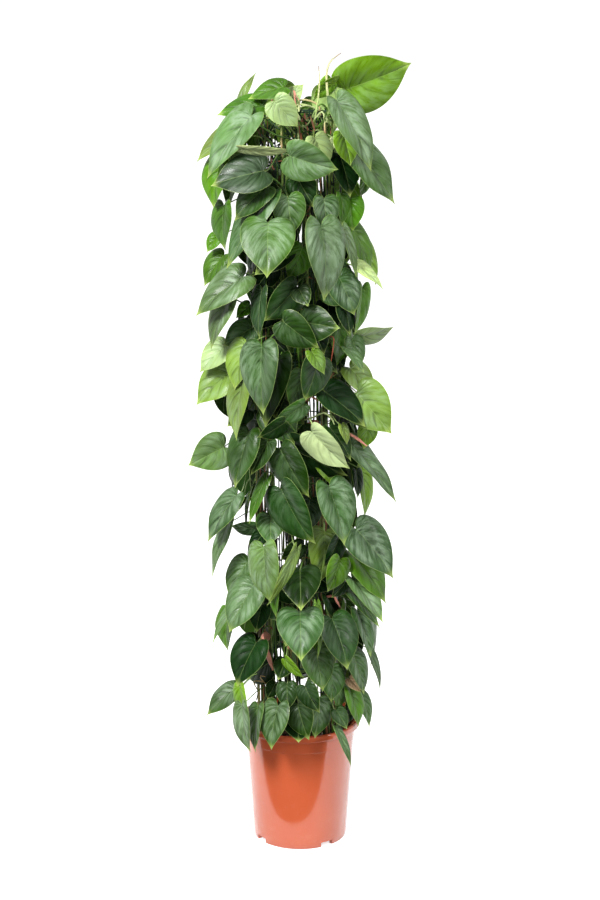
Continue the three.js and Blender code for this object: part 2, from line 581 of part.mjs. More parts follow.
function isClear(body, vine) {
  const box = boxOf(body);
  return placed.every((other) => (other.vine === vine && other.isStem) || !overlaps(body, box, other));
}

function comesFromBehind(path, leaf) {
  return [path[0], path[1]].every((point) => {
    const away = point.clone().sub(leaf.base);
    const rise = away.dot(leaf.up) / away.length();
    const forward = away.dot(leaf.along) / away.length();
    return forward < -0.6 || (rise < -0.12 && forward < 0.3) || rise < -0.5;
  });
}

const vineParts = stems.map((stem) => [stem]);
const azimuthGap = (a, b) => Math.abs(Math.atan2(Math.sin(a - b), Math.cos(a - b)));

// The vines nearest to a leaf, the nearest first.
function vinesNear(leaf) {
  const fromAxis = leaf.base.clone().sub(columnAxis(leaf.base.z));
  const azimuth = Math.atan2(fromAxis.x, -fromAxis.y);
  return Array.from({ length: VINES }, (_, vine) => vine)
    .sort((a, b) => azimuthGap(vineAzimuth(a), azimuth) - azimuthGap(vineAzimuth(b), azimuth))
    .slice(0, NEAREST_VINES);
}

// A blade on a stub of petiole, which keeps a place free for a leaf that comes later.
function bladeAlone(leaf) {
  const stub = [8, 4, 0].map((back) => leaf.base.clone().addScaledVector(leaf.up, -back));
  const body = makeLeaf(leaf, stub);
  return { body, box: boxOf(body) };
}

function overlaps(body, box, other) {
  return other.box.intersectsBox(box) && body.intersect(other.body).volume() > 1e-6;
}

// Takes the first push that has room, and there the petiole that crosses the fewest of the blades to come.
function place(leafAt, pushes, bladesToCome = []) {
  for (const push of pushes) {
    const leaf = leafAt(push);
    if (!leaf) continue;
    let best = null;
    for (const vine of vinesNear(leaf)) {
      for (const offset of NODE_OFFSETS) {
        if (best && best.crossed === 0) continue;
        const height = THREE.MathUtils.clamp(leaf.base.z + offset, LOWEST_NODE, vineTop(vine) - 6);
        const path = petiolePath(vine, height, leaf);
        if (!comesFromBehind(path, leaf)) continue;
        const fatter = makeLeaf(leaf, path, CLEARANCE);
        if (!isClear(fatter, vine)) continue;
        const box = boxOf(fatter);
        const crossed = bladesToCome.filter((blade) => overlaps(fatter, box, blade)).length;
        if (!best || crossed < best.crossed) best = { vine, path, crossed };
      }
    }
    if (!best) continue;
    const body = makeLeaf(leaf, best.path);
    placed.push({ body, box: boxOf(body), vine: best.vine });
    vineParts[best.vine].push(body);
    return leaf;
  }
  return null;
}

for (const shoot of SHOOTS) {
  const path = shootPath(shoot);
  const body = tube([stemPoint(shoot.vine, vineTop(shoot.vine) - 8), ...path], [2.4, ...shoot.radii], 4);
  placed.push({ body, box: boxOf(body), vine: shoot.vine });
  vineParts[shoot.vine].push(body);
}

const dropped = [];
// The leaves nearest to the eye come first, so that those they hide make room for them.
const nearestFirst = FRONT_LEAVES.map((row, number) => ({ row, number })).sort((a, b) => b.row[5] - a.row[5]);
const frontBlades = nearestFirst.map(({ row }) => bladeAlone(frontLeaf(row, 0)));
nearestFirst.forEach(({ row, number }, turn) => {
  const leaf = place((push) => frontLeaf(row, push), PUSHES, frontBlades.slice(turn + 1));
  if (leaf) frontOutlines.push(seenOutline(leaf));
  else dropped.push(`front ${number}`);
});
const random = randomSource(BACK_SEED);
for (let number = 0; number < BACK_LEAVES; number++) {
  const tries = Array.from({ length: BACK_TRIES }, () => Array.from({ length: 7 }, random));
  const leafAt = (draws) => (push) => {
    const leaf = backLeaf(number, draws, push);
    return showsWhereItShouldNot(leaf) ? null : leaf;
  };
  if (!tries.some((draws) => place(leafAt(draws), BACK_PUSHES))) dropped.push(`back ${number}`);
}

const vines = vineParts.map((parts) => wasm.Manifold.union(parts));

// The soil is cut for the wires and the stems, which stand in it with a small gap.
const holes = [];
for (let i = 0; i < CAGE_WIRES; i++) {
  const azimuth = (2 * Math.PI * i) / CAGE_WIRES;
  const lowest = CAGE_TOP - (CAGE_RINGS - 1) * CAGE_RING_SPACING;
  const middle = columnAxis(lowest).addScaledVector(outwardAt(azimuth), columnRadius(lowest));
  const out = outwardAt(azimuth);
  const along = vector(Math.cos(azimuth), Math.sin(azimuth), 0);
  const halfHole = WIRE_HALF + 4 * GAP;
  const corners = [
    middle.clone().addScaledVector(out, halfHole),
    middle.clone().addScaledVector(out, -WIRE_DEPTH - 2 * GAP).addScaledVector(along, halfHole),
    middle.clone().addScaledVector(out, -WIRE_DEPTH - 2 * GAP).addScaledVector(along, -halfHole),
  ];
  const low = corners.map((corner) => vector(corner.x, corner.y, CAGE_WIRE_END - GAP));
  const high = corners.map((corner) => vector(corner.x, corner.y, SOIL_TOP + 10));
  holes.push(solid([...low, ...high], [
    [0, 2, 1], [3, 4, 5], [0, 1, 4], [0, 4, 3], [1, 2, 5], [1, 5, 4], [2, 0, 3], [2, 3, 5],
  ]));
}
for (let vine = 0; vine < VINES; vine++) {
  const foot = stemPoint(vine, SOIL_TOP);
  const path = [vector(foot.x, foot.y, STEM_END - GAP), foot, stemPoint(vine, SOIL_TOP + 40)];
  holes.push(tube(path, path.map(() => STEM_RADIUS_LOW + 2 * GAP), STEM_SIDES));
}
const soil = holes.reduce((body, hole) => body.subtract(hole), soilBlock);

const COLOURS = {
  pot: { color: 0xc95e3a, roughness: 0.32 },
  soil: { color: 0x2a1c13, roughness: 0.95 },
  cage: { color: 0x123020, roughness: 0.5 },
  leaf: [0x4f8a3a, 0x5f9a44, 0x3f7a35, 0x6da34a],
};

const plant = new THREE.Group();
plant.name = "potted_heartleaf_philodendron";
plant.userData.leavesWithoutRoom = dropped;

function addMesh(name, body, { color, roughness }) {
  const { vertProperties, triVerts, numProp } = body.getMesh();
  const geometry = new THREE.BufferGeometry();
  const position = new Float32Array((vertProperties.length / numProp) * 3);
  for (let i = 0; i < vertProperties.length / numProp; i++) {
    for (let k = 0; k < 3; k++) position[3 * i + k] = vertProperties[numProp * i + k];
  }
  geometry.setAttribute("position", new THREE.BufferAttribute(position, 3));
  geometry.setIndex(new THREE.BufferAttribute(new Uint32Array(triVerts), 1));
  geometry.computeVertexNormals();
  const material = new THREE.MeshStandardMaterial({ color, roughness, metalness: 0 });
  const mesh = new THREE.Mesh(geometry, material);
  mesh.name = name;
  plant.add(mesh);
}

addMesh("pot", pot, COLOURS.pot);
addMesh("soil", soil, COLOURS.soil);
addMesh("climbing_cage", cage, COLOURS.cage);
vines.forEach((body, vine) => {
  addMesh(`vine_${vine + 1}`, body, { color: COLOURS.leaf[vine % COLOURS.leaf.length], roughness: 0.45 });
});

export default plant;
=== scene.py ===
"""Looks of the potted heartleaf philodendron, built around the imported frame.

The fine leaves, petioles and stems stand where the solids of the vines are: the same rules place them, and
a leaf is made where a vine's solid has its corners. Layout is in millimetres, as in the part's source, and
meshes are in metres. +Z is up, and the front of the plant faces -Y.
"""

import math
import random
from types import SimpleNamespace

import bpy
import numpy as np
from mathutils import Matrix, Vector
from mathutils.kdtree import KDTree


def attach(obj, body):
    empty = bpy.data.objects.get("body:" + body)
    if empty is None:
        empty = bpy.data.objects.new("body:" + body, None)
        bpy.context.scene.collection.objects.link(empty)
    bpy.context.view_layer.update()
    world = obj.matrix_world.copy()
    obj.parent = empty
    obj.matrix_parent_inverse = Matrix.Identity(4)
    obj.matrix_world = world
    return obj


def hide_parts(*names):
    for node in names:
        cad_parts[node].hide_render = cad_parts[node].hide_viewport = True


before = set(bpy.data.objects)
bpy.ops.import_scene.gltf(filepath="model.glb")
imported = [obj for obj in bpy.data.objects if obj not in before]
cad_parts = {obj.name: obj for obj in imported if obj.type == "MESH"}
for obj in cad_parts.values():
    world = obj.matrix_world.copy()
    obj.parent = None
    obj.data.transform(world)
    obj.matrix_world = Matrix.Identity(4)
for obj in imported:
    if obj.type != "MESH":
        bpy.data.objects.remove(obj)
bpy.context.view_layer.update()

MM = 0.001

# Pot, in millimetres as in the part's source
POT_SEGMENTS = 144
POT_RIM_RADIUS = 124
POT_HEIGHT = 253
POT_LIP_DEPTH = 13
POT_LIP_WALL = 2
POT_WALL = 2.2
POT_FOOT_RADIUS = 96.6
POT_FOOT_INNER_RADIUS = 88
POT_FOOT_HEIGHT = 10.6
POT_FLOOR_THICKNESS = 2.8
POT_TAPER = 0.0704
POT_COLLAR_HEIGHT = 213
POT_COLLAR_STEP = 0.9
POT_NOTCH_WIDTH = 28
POT_NOTCH_HEIGHT = 10
POT_NOTCH_AZIMUTHS = [35, 125, 215, 305]
DRAIN_HOLE_RADIUS = 6
DRAIN_HOLE_CIRCLE = 66

# Soil and column
SOIL_TOP = 226
SOIL_CROWN = 4
GAP = 0.3
CAGE_WIRES = 13
CAGE_RINGS = 13
CAGE_TOP = 1480
CAGE_RING_SPACING = 100
CAGE_WIRE_END = 150
CAGE_RADIUS_LOW = 79
CAGE_RADIUS_TOP = 70
CAGE_LEAN = -15
WIRE_RADIUS = 1.25

# Vines
VINES = 14
STEM_RADIUS_LOW = 3.6
STEM_RADIUS_TOP = 2.4
STEM_STANDOFF = 5.8
STEM_WANDER = 6
STEM_TOP_LOW = 1420
STEM_TOP_SPREAD = 75
LOWEST_NODE = 250
NODE_OFFSETS = [14, -12, 40, -40, 70, -75]
HIGHEST_NODE_BELOW_TOP = 6

# Blades and petioles
BLADE_FOLD = 0.22
BLADE_DROOP = 0.1
CENTRE_HALF = 72
CENTRE_WIDTH = 0.74
NEAREST_DEPTH = 122
MOST_TURNED = [1.3, 2]
SIDE = 130
WIDTH_TO_LENGTH = 0.88
PETIOLE_RADIUS = 1.0
PETIOLE_RADIUS_PER_WIDTH = 0.009

# The plane on which the plant is laid out as it is seen
VIEW_PITCH = math.radians(12.2)
VIEW_DISTANCE = 3600
AIM = np.array([0.0, 0.0, 814.0])
RIGHT = np.array([1.0, 0.0, 0.0])
UP = np.array([0.0, math.sin(VIEW_PITCH), math.cos(VIEW_PITCH)])
INTO = np.array([0.0, math.cos(VIEW_PITCH), -math.sin(VIEW_PITCH)])
EYE = AIM - VIEW_DISTANCE * INTO

# Leaves on the front and the sides: petiole's end (x, z), tip (x, z), width as seen, and depth in front of
# the axis
FRONT_LEAVES = [
    (92, 722, 222, 772, 110, 10), (74, 698, 148, 560, 58, 130), (106, 606, 190, 492, 66, 76),
    (86, 634, 102, 568, 50, 100), (80, 588, 102, 506, 56, 62), (132, 548, 122, 506, 24, 0),
    (-76, 684, -152, 664, 34, 20), (-98, 668, -190, 546, 62, 80), (-130, 640, -207, 577, 34, 35),
    (-120, 688, -88, 756, 18, 0), (-32, 726, -104, 704, 40, 50), (-24, 696, 6, 732, 36, 20),
    (-50, 696, -4, 646, 60, 100), (62, 738, 28, 702, 30, -10), (60, 724, 78, 744, 18, 20),
    (-88, 648, -100, 600, 42, 20), (-112, 602, -12, 598, 18, 110), (-20, 588, 76, 560, 80, 124),
    (30, 624, 56, 562, 46, 95), (66, 622, 66, 600, 18, 80), (-74, 558, -178, 530, 80, 120),
    (-160, 574, -176, 484, 52, 40), (-68, 526, -132, 460, 60, 104), (-64, 506, -147, 362, 60, 112),
    (-152, 488, -154, 400, 40, 40), (-164, 428, -186, 396, 28, 20), (-64, 454, -66, 350, 110, 150),
    (-24, 504, -16, 428, 68, 110), (4, 404, -22, 340, 54, 100), (48, 502, 52, 430, 48, 95),
    (42, 448, 54, 298, 78, 140), (82, 510, 84, 448, 28, 60), (100, 500, 106, 438, 56, 50),
    (86, 444, 114, 346, 22, 90), (108, 442, 142, 346, 36, 50), (120, 420, 156, 332, 30, 30),
    (112, 370, 168, 324, 24, 70), (-152, 390, -194, 330, 44, 20), (-114, 346, -210, 272, 68, 80),
    (-142, 302, -182, 204, 42, 70), (-100, 290, -128, 264, 28, 60), (-96, 244, -154, 208, 56, 60),
    (-7, 326, -72, 257, 66, 118), (-32, 256, 38, 204, 68, 145), (-76, 208, -74, 70, 76, 150),
    (-106, 210, -134, 122, 56, 80), (-148, 208, -200, 156, 50, 40), (-140, 156, -208, 92, 70, 60),
    (-114, 140, -130, 20, 44, 90), (-44, 182, -74, 46, 66, 105), (6, 152, -20, 82, 52, 115),
    (36, 178, 10, 98, 60, 140), (6, 90, -62, 46, 36, 140), (24, 196, 50, 152, 32, 152),
    (8, 256, 78, 244, 74, 130), (-2, 322, 16, 288, 42, 115), (50, 316, 90, 290, 40, 95),
    (78, 346, 110, 270, 64, 90), (86, 294, 100, 230, 36, 80), (124, 324, 112, 230, 30, 50),
    (116, 226, 188, 242, 34, 30), (104, 222, 118, 160, 40, 60), (92, 204, 130, 156, 22, 90),
    (80, 248, 74, 164, 44, 80), (114, 114, 182, 34, 96, 70), (50, 116, 132, 48, 60, 95),
    (136, 50, 128, 2, 40, 40), (24, 36, 98, -38, 60, 158), (84, 50, 96, 12, 18, 100),
    (60, 44, 104, -20, 34, 110), (104, 10, 194, -104, 40, 60), (-152, 6, -222, -30, 76, 30),
    (-102, 34, -130, -76, 60, 100), (-104, 80, -146, 48, 44, 60), (-32, 54, -84, 24, 36, 110),
    (-64, 16, -98, -50, 48, 120), (-38, 0, 18, -94, 68, 135), (-20, 10, 94, -52, 72, 116),
    (58, -74, 90, -190, 74, 140), (-36, -80, 26, -190, 74, 130), (112, -42, 116, -96, 22, 40),
    (124, -40, 132, -136, 30, 20), (112, -158, 188, -254, 84, 70), (104, -206, 174, -304, 60, 50),
    (104, -256, 166, -344, 40, 80), (96, -274, 160, -356, 30, 60), (114, -322, 142, -414, 36, 50),
    (136, -396, 164, -480, 16, 30), (64, -338, 98, -438, 72, 128), (0, -326, 2, -418, 94, 160),
    (34, -310, 40, -416, 16, 145), (0, -240, 2, -318, 84, 135), (-8, -200, -62, -312, 22, 160),
    (-72, -194, -62, -306, 62, 125), (-58, -134, -60, -190, 60, 105), (-104, -224, -144, -294, 48, 90),
    (-88, -156, -138, -154, 28, 70), (-142, -144, -178, -252, 24, 50), (-126, -90, -186, -182, 44, 60),
    (-114, -96, -136, -136, 20, 80), (-68, -58, -102, -146, 24, 110), (-76, -170, -100, -204, 32, 80),
    (-100, -248, -134, -284, 26, 60), (-92, -270, -142, -364, 72, 110), (-120, -294, -178, -384, 18, 80),
    (-144, -322, -148, -400, 34, 40), (-88, -386, -128, -472, 68, 120), (-128, -476, -186, -530, 40, 60),
    (-120, -474, -104, -556, 26, 100), (-116, -510, -104, -604, 32, 130), (-84, -514, -92, -602, 30, 124),
    (-44, -512, -60, -598, 58, 145), (-4, -510, 16, -580, 56, 150), (-26, -468, -24, -520, 44, 135),
    (36, -498, 32, -576, 56, 140), (10, -472, 38, -526, 44, 158), (30, -400, 46, -482, 66, 135),
    (62, -436, 64, -504, 36, 110), (76, -460, 76, -524, 34, 100), (106, -408, 128, -488, 40, 70),
    (100, -458, 122, -484, 26, 90), (100, -480, 120, -552, 32, 80), (122, -488, 140, -554, 24, 50),
    (72, -520, 94, -558, 32, 125), (74, -556, 104, -632, 16, 135), (-30, -422, -44, -460, 40, 120),
    (-28, -420, 6, -456, 20, 135), (80, -220, 56, -284, 44, 95), (50, -164, 40, -266, 34, 115),
    (76, -180, 48, -236, 36, 85), (4, -190, -38, -220, 32, 110), (90, -264, 64, -296, 28, 90),
    (-50, -276, -48, -334, 22, 130), (-76, -310, -88, -364, 44, 95), (-76, 318, -84, 222, 32, 100),
    (-56, 556, -66, 512, 30, 85), (-50, -468, -66, -498, 30, 100),
]
PUSHES = [0, -8, 8, -16, -24, -34, 16, -46, 26, 38, 52, 64, 78, -60]

# Leaves on the back, by the same rule and draws as the solids
GOLDEN_SHARE = 0.618034
BACK_LEAVES = 92
BACK_FROM = 80
BACK_SWEEP = 200
BACK_LOWEST = 300
BACK_HIGHEST = 1530
BACK_TRIES = 14
BACK_JITTER = 36
BACK_SEED = 20
BACK_PUSHES = [0, 14, 30, 50, 72]
BRIGHT_ABOVE = 1395

# New shoots at the top, as points (x, z) on the view plane
SHOOTS = [
    SimpleNamespace(
        vine=2, points=[(56, 700), (53, 748), (60, 776), (82, 794)], depth=38, radii=[3.2, 3.6, 3.2, 0.8]
    ),
    SimpleNamespace(vine=1, points=[(36, 700), (39, 740), (37, 768)], depth=64, radii=[2.6, 2.2, 0.7]),
]

# Each front leaf's tone, in the table's order: g green under a painted grey sheen, h mostly painted sheen,
# s darker, n dark and dull, d dark, m vivid, b bright, l lime, q and p paler, t dried tan. The tones are
# partly the leaves' own colours and partly painted light and shade, for leaves that stand lit, in shade and
# lit from behind. Only leaves near the column have k, the darkest, which is painted shade.
FRONT_TONES = (
    "bhgbdmmhllmqqbbbphqpnmsgmmggmghmmhmbqmhhmgssg"
    "lqlldgsgbssggdmqghmldbpldghsddssdgsdbgmhgggsg"
    "bdlhggghgsmdmhhmdgbhggssgsggggtmgsgdbmldddmds"
    "sd"
)

# Leaves that the solids had no room for, in the same order as above, with the tone last
LOOSE_LEAVES = [
    (62, 738, 28, 702, 32, 26, "b"), (54, 734, 80, 750, 16, 34, "b"), (-74, 690, -166, 670, 40, 34, "m"),
    (100, 164, 150, 104, 50, 44, "l"),
    (102, -506, 92, -550, 26, 84, "d"), (-62, -512, -50, -548, 22, 96, "d"), (2, -496, 8, -530, 24, 110, "d"),
]

# Places where one sees right through the column: x from, x to, z from, z to on the view plane
WINDOWS = [
    (-6, 14, 420, 450), (30, 54, 530, 550), (10, 40, 64, 106), (-64, -58, 4, 16), (-46, -38, 16, 26),
    (90, 98, -76, -56), (-84, -30, -124, -100), (-34, -8, -190, -150), (80, 114, -256, -206),
    (18, 40, -318, -300), (-106, -88, -356, -344), (-72, -58, -364, -350), (-44, -30, -416, -404),
    (-112, -70, -510, -468), (-74, -34, -504, -490),
]
WINDOW_EDGE = 4

# Small leaves close to the column, which the solids leave out
INNER_LEAVES = 170
INNER_TRIES = 8
INNER_LOWEST = 285
INNER_HIGHEST = 1385
INNER_HALF_SPREAD = 112
INNER_ROOM = 8

# Stalks and sheaths that the photo shows by themselves: points (x, z) on the view plane, depth in front of
# the axis, radius, and colours from the root to the end
DARK_STALK, PALE_STALK, GREEN_STALK = (30, 50, 18), (190, 206, 140), (92, 134, 46)
PINK, SALMON, STRAW = (214, 138, 116), (218, 146, 124), (190, 164, 116)
STRANDS = [
    ([(30, 672), (48, 664), (66, 680)], 40, 1.7, (PALE_STALK, GREEN_STALK)),
    ([(-2, 692), (12, 700), (36, 690), (44, 664)], 30, 2.0, (PALE_STALK, STRAW)),
    ([(46, 676), (50, 640), (50, 606)], 76, 1.9, (PALE_STALK, PINK)),
    ([(-90, 656), (-52, 632), (-6, 618)], 96, 1.6, (GREEN_STALK, DARK_STALK)),
    ([(-76, 630), (-58, 614), (-44, 590)], 92, 1.6, (DARK_STALK, GREEN_STALK)),
    ([(-36, 656), (-37, 620), (-36, 586)], 86, 2.0, (GREEN_STALK, STRAW)),
    ([(-72, 552), (-44, 536), (-22, 508)], 104, 1.7, (GREEN_STALK, DARK_STALK)),
    ([(-70, 330), (-84, 350), (-104, 368)], 46, 1.5, (DARK_STALK, DARK_STALK)),
    ([(-76, 308), (-94, 312), (-110, 330)], 50, 1.5, (DARK_STALK, DARK_STALK)),
    ([(-88, 288), (-108, 292), (-140, 306)], 44, 1.5, (DARK_STALK, GREEN_STALK)),
    ([(28, 66), (48, 74), (64, 62), (70, 46)], 104, 1.8, (PALE_STALK, PALE_STALK)),
    ([(46, 98), (44, 70), (46, 36)], 84, 2.2, (GREEN_STALK, PALE_STALK)),
    ([(66, 226), (66, 204), (62, 176)], 118, 1.2, ((190, 112, 84), (176, 84, 62))),
    ([(80, 36), (106, 28), (134, 8)], 74, 2.8, (PINK, SALMON)),
    ([(4, 510), (6, 498), (2, 486)], 92, 2.2, (PINK, PINK)),
    ([(-74, -376), (-66, -404), (-54, -440)], 104, 10.0, (SALMON, SALMON)),
    ([(66, -292), (72, -300), (80, -314)], 92, 2.4, (PINK, SALMON)),
    ([(20, 106), (28, 104), (36, 98)], 86, 1.8, (PINK, PINK)),
    ([(32, 58), (36, 48), (40, 34)], 88, 2.6, (PINK, SALMON)),
    ([(-12, 716), (-8, 708), (-2, 700)], 70, 1.4, (PINK, SALMON)),
    ([(-2, -170), (-6, -178), (-4, -190)], 90, 2.2, (SALMON, PINK)),
    ([(-80, -452), (-66, -470), (-40, -486)], 80, 1.2, (STRAW, DARK_STALK)),
    ([(-92, -462), (-84, -484), (-90, -508)], 78, 1.2, (STRAW, DARK_STALK)),
]


def vec(x, y, z):
    return np.array([x, y, z], float)


def unit(v):
    return v / np.linalg.norm(v)


def lerp(a, b, share):
    return a + (b - a) * share


def fraction(value):
    return value - math.floor(value)


def smoothstep(low, high, value):
    share = np.clip((value - low) / (high - low), 0, 1)
    return share * share * (3 - 2 * share)


def turned(v, axis, angle):
    """v turned about a unit axis."""
    c, s = math.cos(angle), math.sin(angle)
    return v * c + np.cross(axis, v) * s + axis * (axis @ v) * (1 - c)


def srgb(red, green, blue):
    """A colour as seen, 0 to 255, as the linear one that shaders take."""
    shares = (c / 255 for c in (red, green, blue))
    return tuple(c / 12.92 if c <= 0.04045 else ((c + 0.055) / 1.055) ** 2.4 for c in shares)


def linear(*colours):
    """Colours as seen, as arrays of the linear ones."""
    return [np.array(srgb(*colour)) for colour in colours]


def outward_at(azimuth):
    return vec(math.sin(azimuth), -math.cos(azimuth), 0)


def column_share(z):
    return (z - SOIL_TOP) / (CAGE_TOP - SOIL_TOP)


def column_radius(z):
    return lerp(CAGE_RADIUS_LOW, CAGE_RADIUS_TOP, column_share(z))


def column_axis(z):
    return vec(CAGE_LEAN * column_share(z), 0, z)


def at_column(z, azimuth, radius):
    """The point at this height that is this far from the column's axis."""
    return column_axis(z) + outward_at(azimuth) * radius


def vine_azimuth(vine):
    return 2 * math.pi * (vine + 0.5) / VINES


def vine_top(vine):
    return STEM_TOP_LOW + STEM_TOP_SPREAD * fraction(vine * GOLDEN_SHARE)


def stem_point(vine, z):
    wander = math.radians(STEM_WANDER) * math.sin(z / 150 + vine * 1.7) * min(1, (z - SOIL_TOP) / 200)
    azimuth = vine_azimuth(vine) + (wander if z > SOIL_TOP else 0)
    return at_column(z, azimuth, column_radius(z) + STEM_STANDOFF)


def stem_radius(vine, z):
    share = (z - SOIL_TOP) / (vine_top(vine) - SOIL_TOP)
    return lerp(STEM_RADIUS_LOW, STEM_RADIUS_TOP, min(max(share, 0), 1))


def root_height(vine, z):
    """The height nearest to z at which a petiole can leave the stem."""
    return min(max(z, LOWEST_NODE), vine_top(vine) - HIGHEST_NODE_BELOW_TOP)


def nearest_vine(azimuth):
    return min(range(VINES), key=lambda vine: abs(math.remainder(vine_azimuth(vine) - azimuth, 2 * math.pi)))


def vine_beside(point):
    from_axis = point - column_axis(point[2])
    return nearest_vine(math.atan2(from_axis[0], -from_axis[1]))


def make_leaf(base, along, up, length, width, **more):
    """A blade by its petiole's end, its ways along and up, and its size."""
    side = np.cross(along, up)
    return SimpleNamespace(base=base, along=along, up=up, side=side, length=length, width=width, **more)


def on_view_ray(x, z, depth):
    """The point seen at (x, z) of the view plane that stands this far in front of the axis."""
    ray = AIM + RIGHT * x + UP * z - EYE
    return EYE + ray * ((-depth - EYE[1]) / ray[1])


def front_leaf(row, push):
    """A leaf as it is seen: its petiole's end lies on the line of sight, at the given depth."""
    base_x, base_z, tip_x, tip_z, width, depth = row
    base_plane = AIM + RIGHT * base_x + UP * base_z
    ray = base_plane - EYE
    scale = (-(depth + push) - EYE[1]) / ray[1]
    base = EYE + ray * scale
    towards = unit(EYE - base)
    seen = (RIGHT * (tip_x - base_x) + UP * (tip_z - base_z)) * scale
    seen = seen - towards * (seen @ towards)
    seen_length = np.linalg.norm(seen)
    central = max(abs(base_x), abs(tip_x)) < CENTRE_HALF and depth < NEAREST_DEPTH
    seen_width = max(width * scale, CENTRE_WIDTH * seen_length if central else 0)
    length = max(seen_length, seen_width / WIDTH_TO_LENGTH * 0.97)
    most_turned = lerp(*MOST_TURNED, min(1, abs(base_x) / SIDE))
    full_width = max(seen_width, min(WIDTH_TO_LENGTH * length, most_turned * seen_width))
    tilt = math.acos(min(1, seen_length / length))
    roll = math.acos(min(1, seen_width / full_width))
    flat = unit(seen)
    chord = flat * math.cos(tilt) + towards * math.sin(tilt)
    facing = towards * math.cos(tilt) - flat * math.sin(tilt)
    across = np.cross(chord, facing)
    outwards = -1 if across @ (base - column_axis(base[2])) < 0 else 1
    rolled = facing * math.cos(roll) + across * (outwards * math.sin(roll))
    # The blade leaves its petiole rising a little, so that its drooping tip ends on the chord.
    rise = math.atan(BLADE_DROOP)
    along = chord * math.cos(rise) + rolled * math.sin(rise)
    up = rolled * math.cos(rise) - chord * math.sin(rise)
    return make_leaf(base, along, up, length, full_width)


def hanging(out, lean, turn, lift, roll):
    """The ways along and up of a blade that hangs outwards and down; turn and roll are in degrees."""
    along = turned(out * math.sin(lean) - vec(0, 0, math.cos(lean)), out, math.radians(turn))
    face = out + vec(0, 0, lift)
    face = unit(face - along * (face @ along))
    return along, turned(face, along, math.radians(roll))


def back_leaf(number, draws, push):
    """A leaf on the back: it hangs outwards and down from its petiole, turned a little to one side."""
    radius_draw, length_draw, lean_draw, turn_draw, roll_draw, height_draw, jitter_draw = draws
    azimuth = math.radians(
        BACK_FROM + BACK_SWEEP * fraction(number * GOLDEN_SHARE) + BACK_JITTER * (jitter_draw - 0.5)
    )
    height = lerp(BACK_LOWEST, BACK_HIGHEST, (number + 0.2 + 0.6 * height_draw) / BACK_LEAVES)
    out = outward_at(azimuth)
    sideways = abs(out[0])
    standing = lerp(38 + 60 * radius_draw, 20 + 24 * radius_draw, sideways)
    base = column_axis(height) + out * (column_radius(height) + standing + push * (1 - 0.6 * sideways))
    length = 84 + 52 * length_draw
    lean = math.radians(lerp(8 + 34 * lean_draw, 2 + 12 * lean_draw, sideways))
    along, up = hanging(out, lean, 60 * (turn_draw - 0.5), 0.3, 50 * (roll_draw - 0.5))
    return make_leaf(base, along, up, length, length * WIDTH_TO_LENGTH)


def blade_point(leaf, u, v):
    half_width = leaf.width / 2
    rise = BLADE_FOLD * abs(v) * half_width - BLADE_DROOP * leaf.length * u * abs(u)
    return leaf.base + leaf.along * (u * leaf.length) + leaf.side * (v * half_width) + leaf.up * rise


def bezier(points, t):
    a, b, c, d = points
    return a * (1 - t) ** 3 + b * (3 * t * (1 - t) ** 2) + c * (3 * t * t * (1 - t)) + d * t**3


def petiole_controls(vine, height, leaf):
    """The petiole leaves the stem outwards and upwards and meets the blade's underside in the notch."""
    root = stem_point(vine, height)
    out = unit(root - column_axis(height))
    reach = np.linalg.norm(root - leaf.base)
    first = root + out * (0.35 * reach) + vec(0, 0, 0.2 * reach)
    second = leaf.base - leaf.up * min(0.3 * reach, 22) - leaf.along * min(0.2 * reach, 14)
    return root, first, second, leaf.base


def petiole_radius(leaf):
    return PETIOLE_RADIUS + PETIOLE_RADIUS_PER_WIDTH * leaf.width


def petiole_bend(vine, height, leaf):
    """The corners of the petiole's middle ring in the solid."""
    controls = petiole_controls(vine, height, leaf)
    middle = bezier(controls, 0.55)
    tangent = unit(controls[3] - controls[0])
    side = unit(leaf.side - tangent * (leaf.side @ tangent))
    other = np.cross(tangent, side)
    radius = petiole_radius(leaf)
    corners = ((-0.87, -0.5), (0.87, -0.5), (0, 1))
    return [middle + side * (x * radius) + other * (y * radius) for x, y in corners]


# Which leaves the solids have
CORNER_TOLERANCE = 0.05


class SolidCorners:
    """The corners of the vines' solids, in millimetres."""

    def __init__(self):
        rows = [
            (vine, vertex.co)
            for vine in range(VINES)
            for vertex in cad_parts[f"vine_{vine + 1}"].data.vertices
        ]
        self.vines = [vine for vine, _ in rows]
        self.tree = KDTree(len(rows))
        for index, (_, corner) in enumerate(rows):
            self.tree.insert(corner / MM, index)
        self.tree.balance()

    def vine_at(self, point):
        _, index, distance = self.tree.find(Vector(point))
        return self.vines[index] if distance < CORNER_TOLERANCE else None

    def vine_of(self, leaf):
        """The vine whose solid has this leaf, or None. The tip comes first, since it rules out most."""
        found = {self.vine_at(blade_point(leaf, 1, 0))}
        if None in found:
            return None
        found |= {self.vine_at(blade_point(leaf, u, v)) for u, v in ((0.5, 0.9), (0.12, -1), (0.84, -0.3))}
        return found.pop() if len(found) == 1 else None

    def petiole_height(self, vine, leaf):
        """The height on the stem from which the solid's petiole comes."""

        def miss(height):
            return sum(self.tree.find(Vector(corner))[2] for corner in petiole_bend(vine, height, leaf))

        return min((root_height(vine, leaf.base[2] + offset) for offset in NODE_OFFSETS), key=miss)


def draws_for_back_leaves():
    state = BACK_SEED
    for number in range(BACK_LEAVES):
        tries = []
        for _ in range(BACK_TRIES):
            draws = []
            for _ in range(7):
                state = (state * 1664525 + 1013904223) & 0xFFFFFFFF
                draws.append(state / 4294967296)
            tries.append(draws)
        yield number, tries


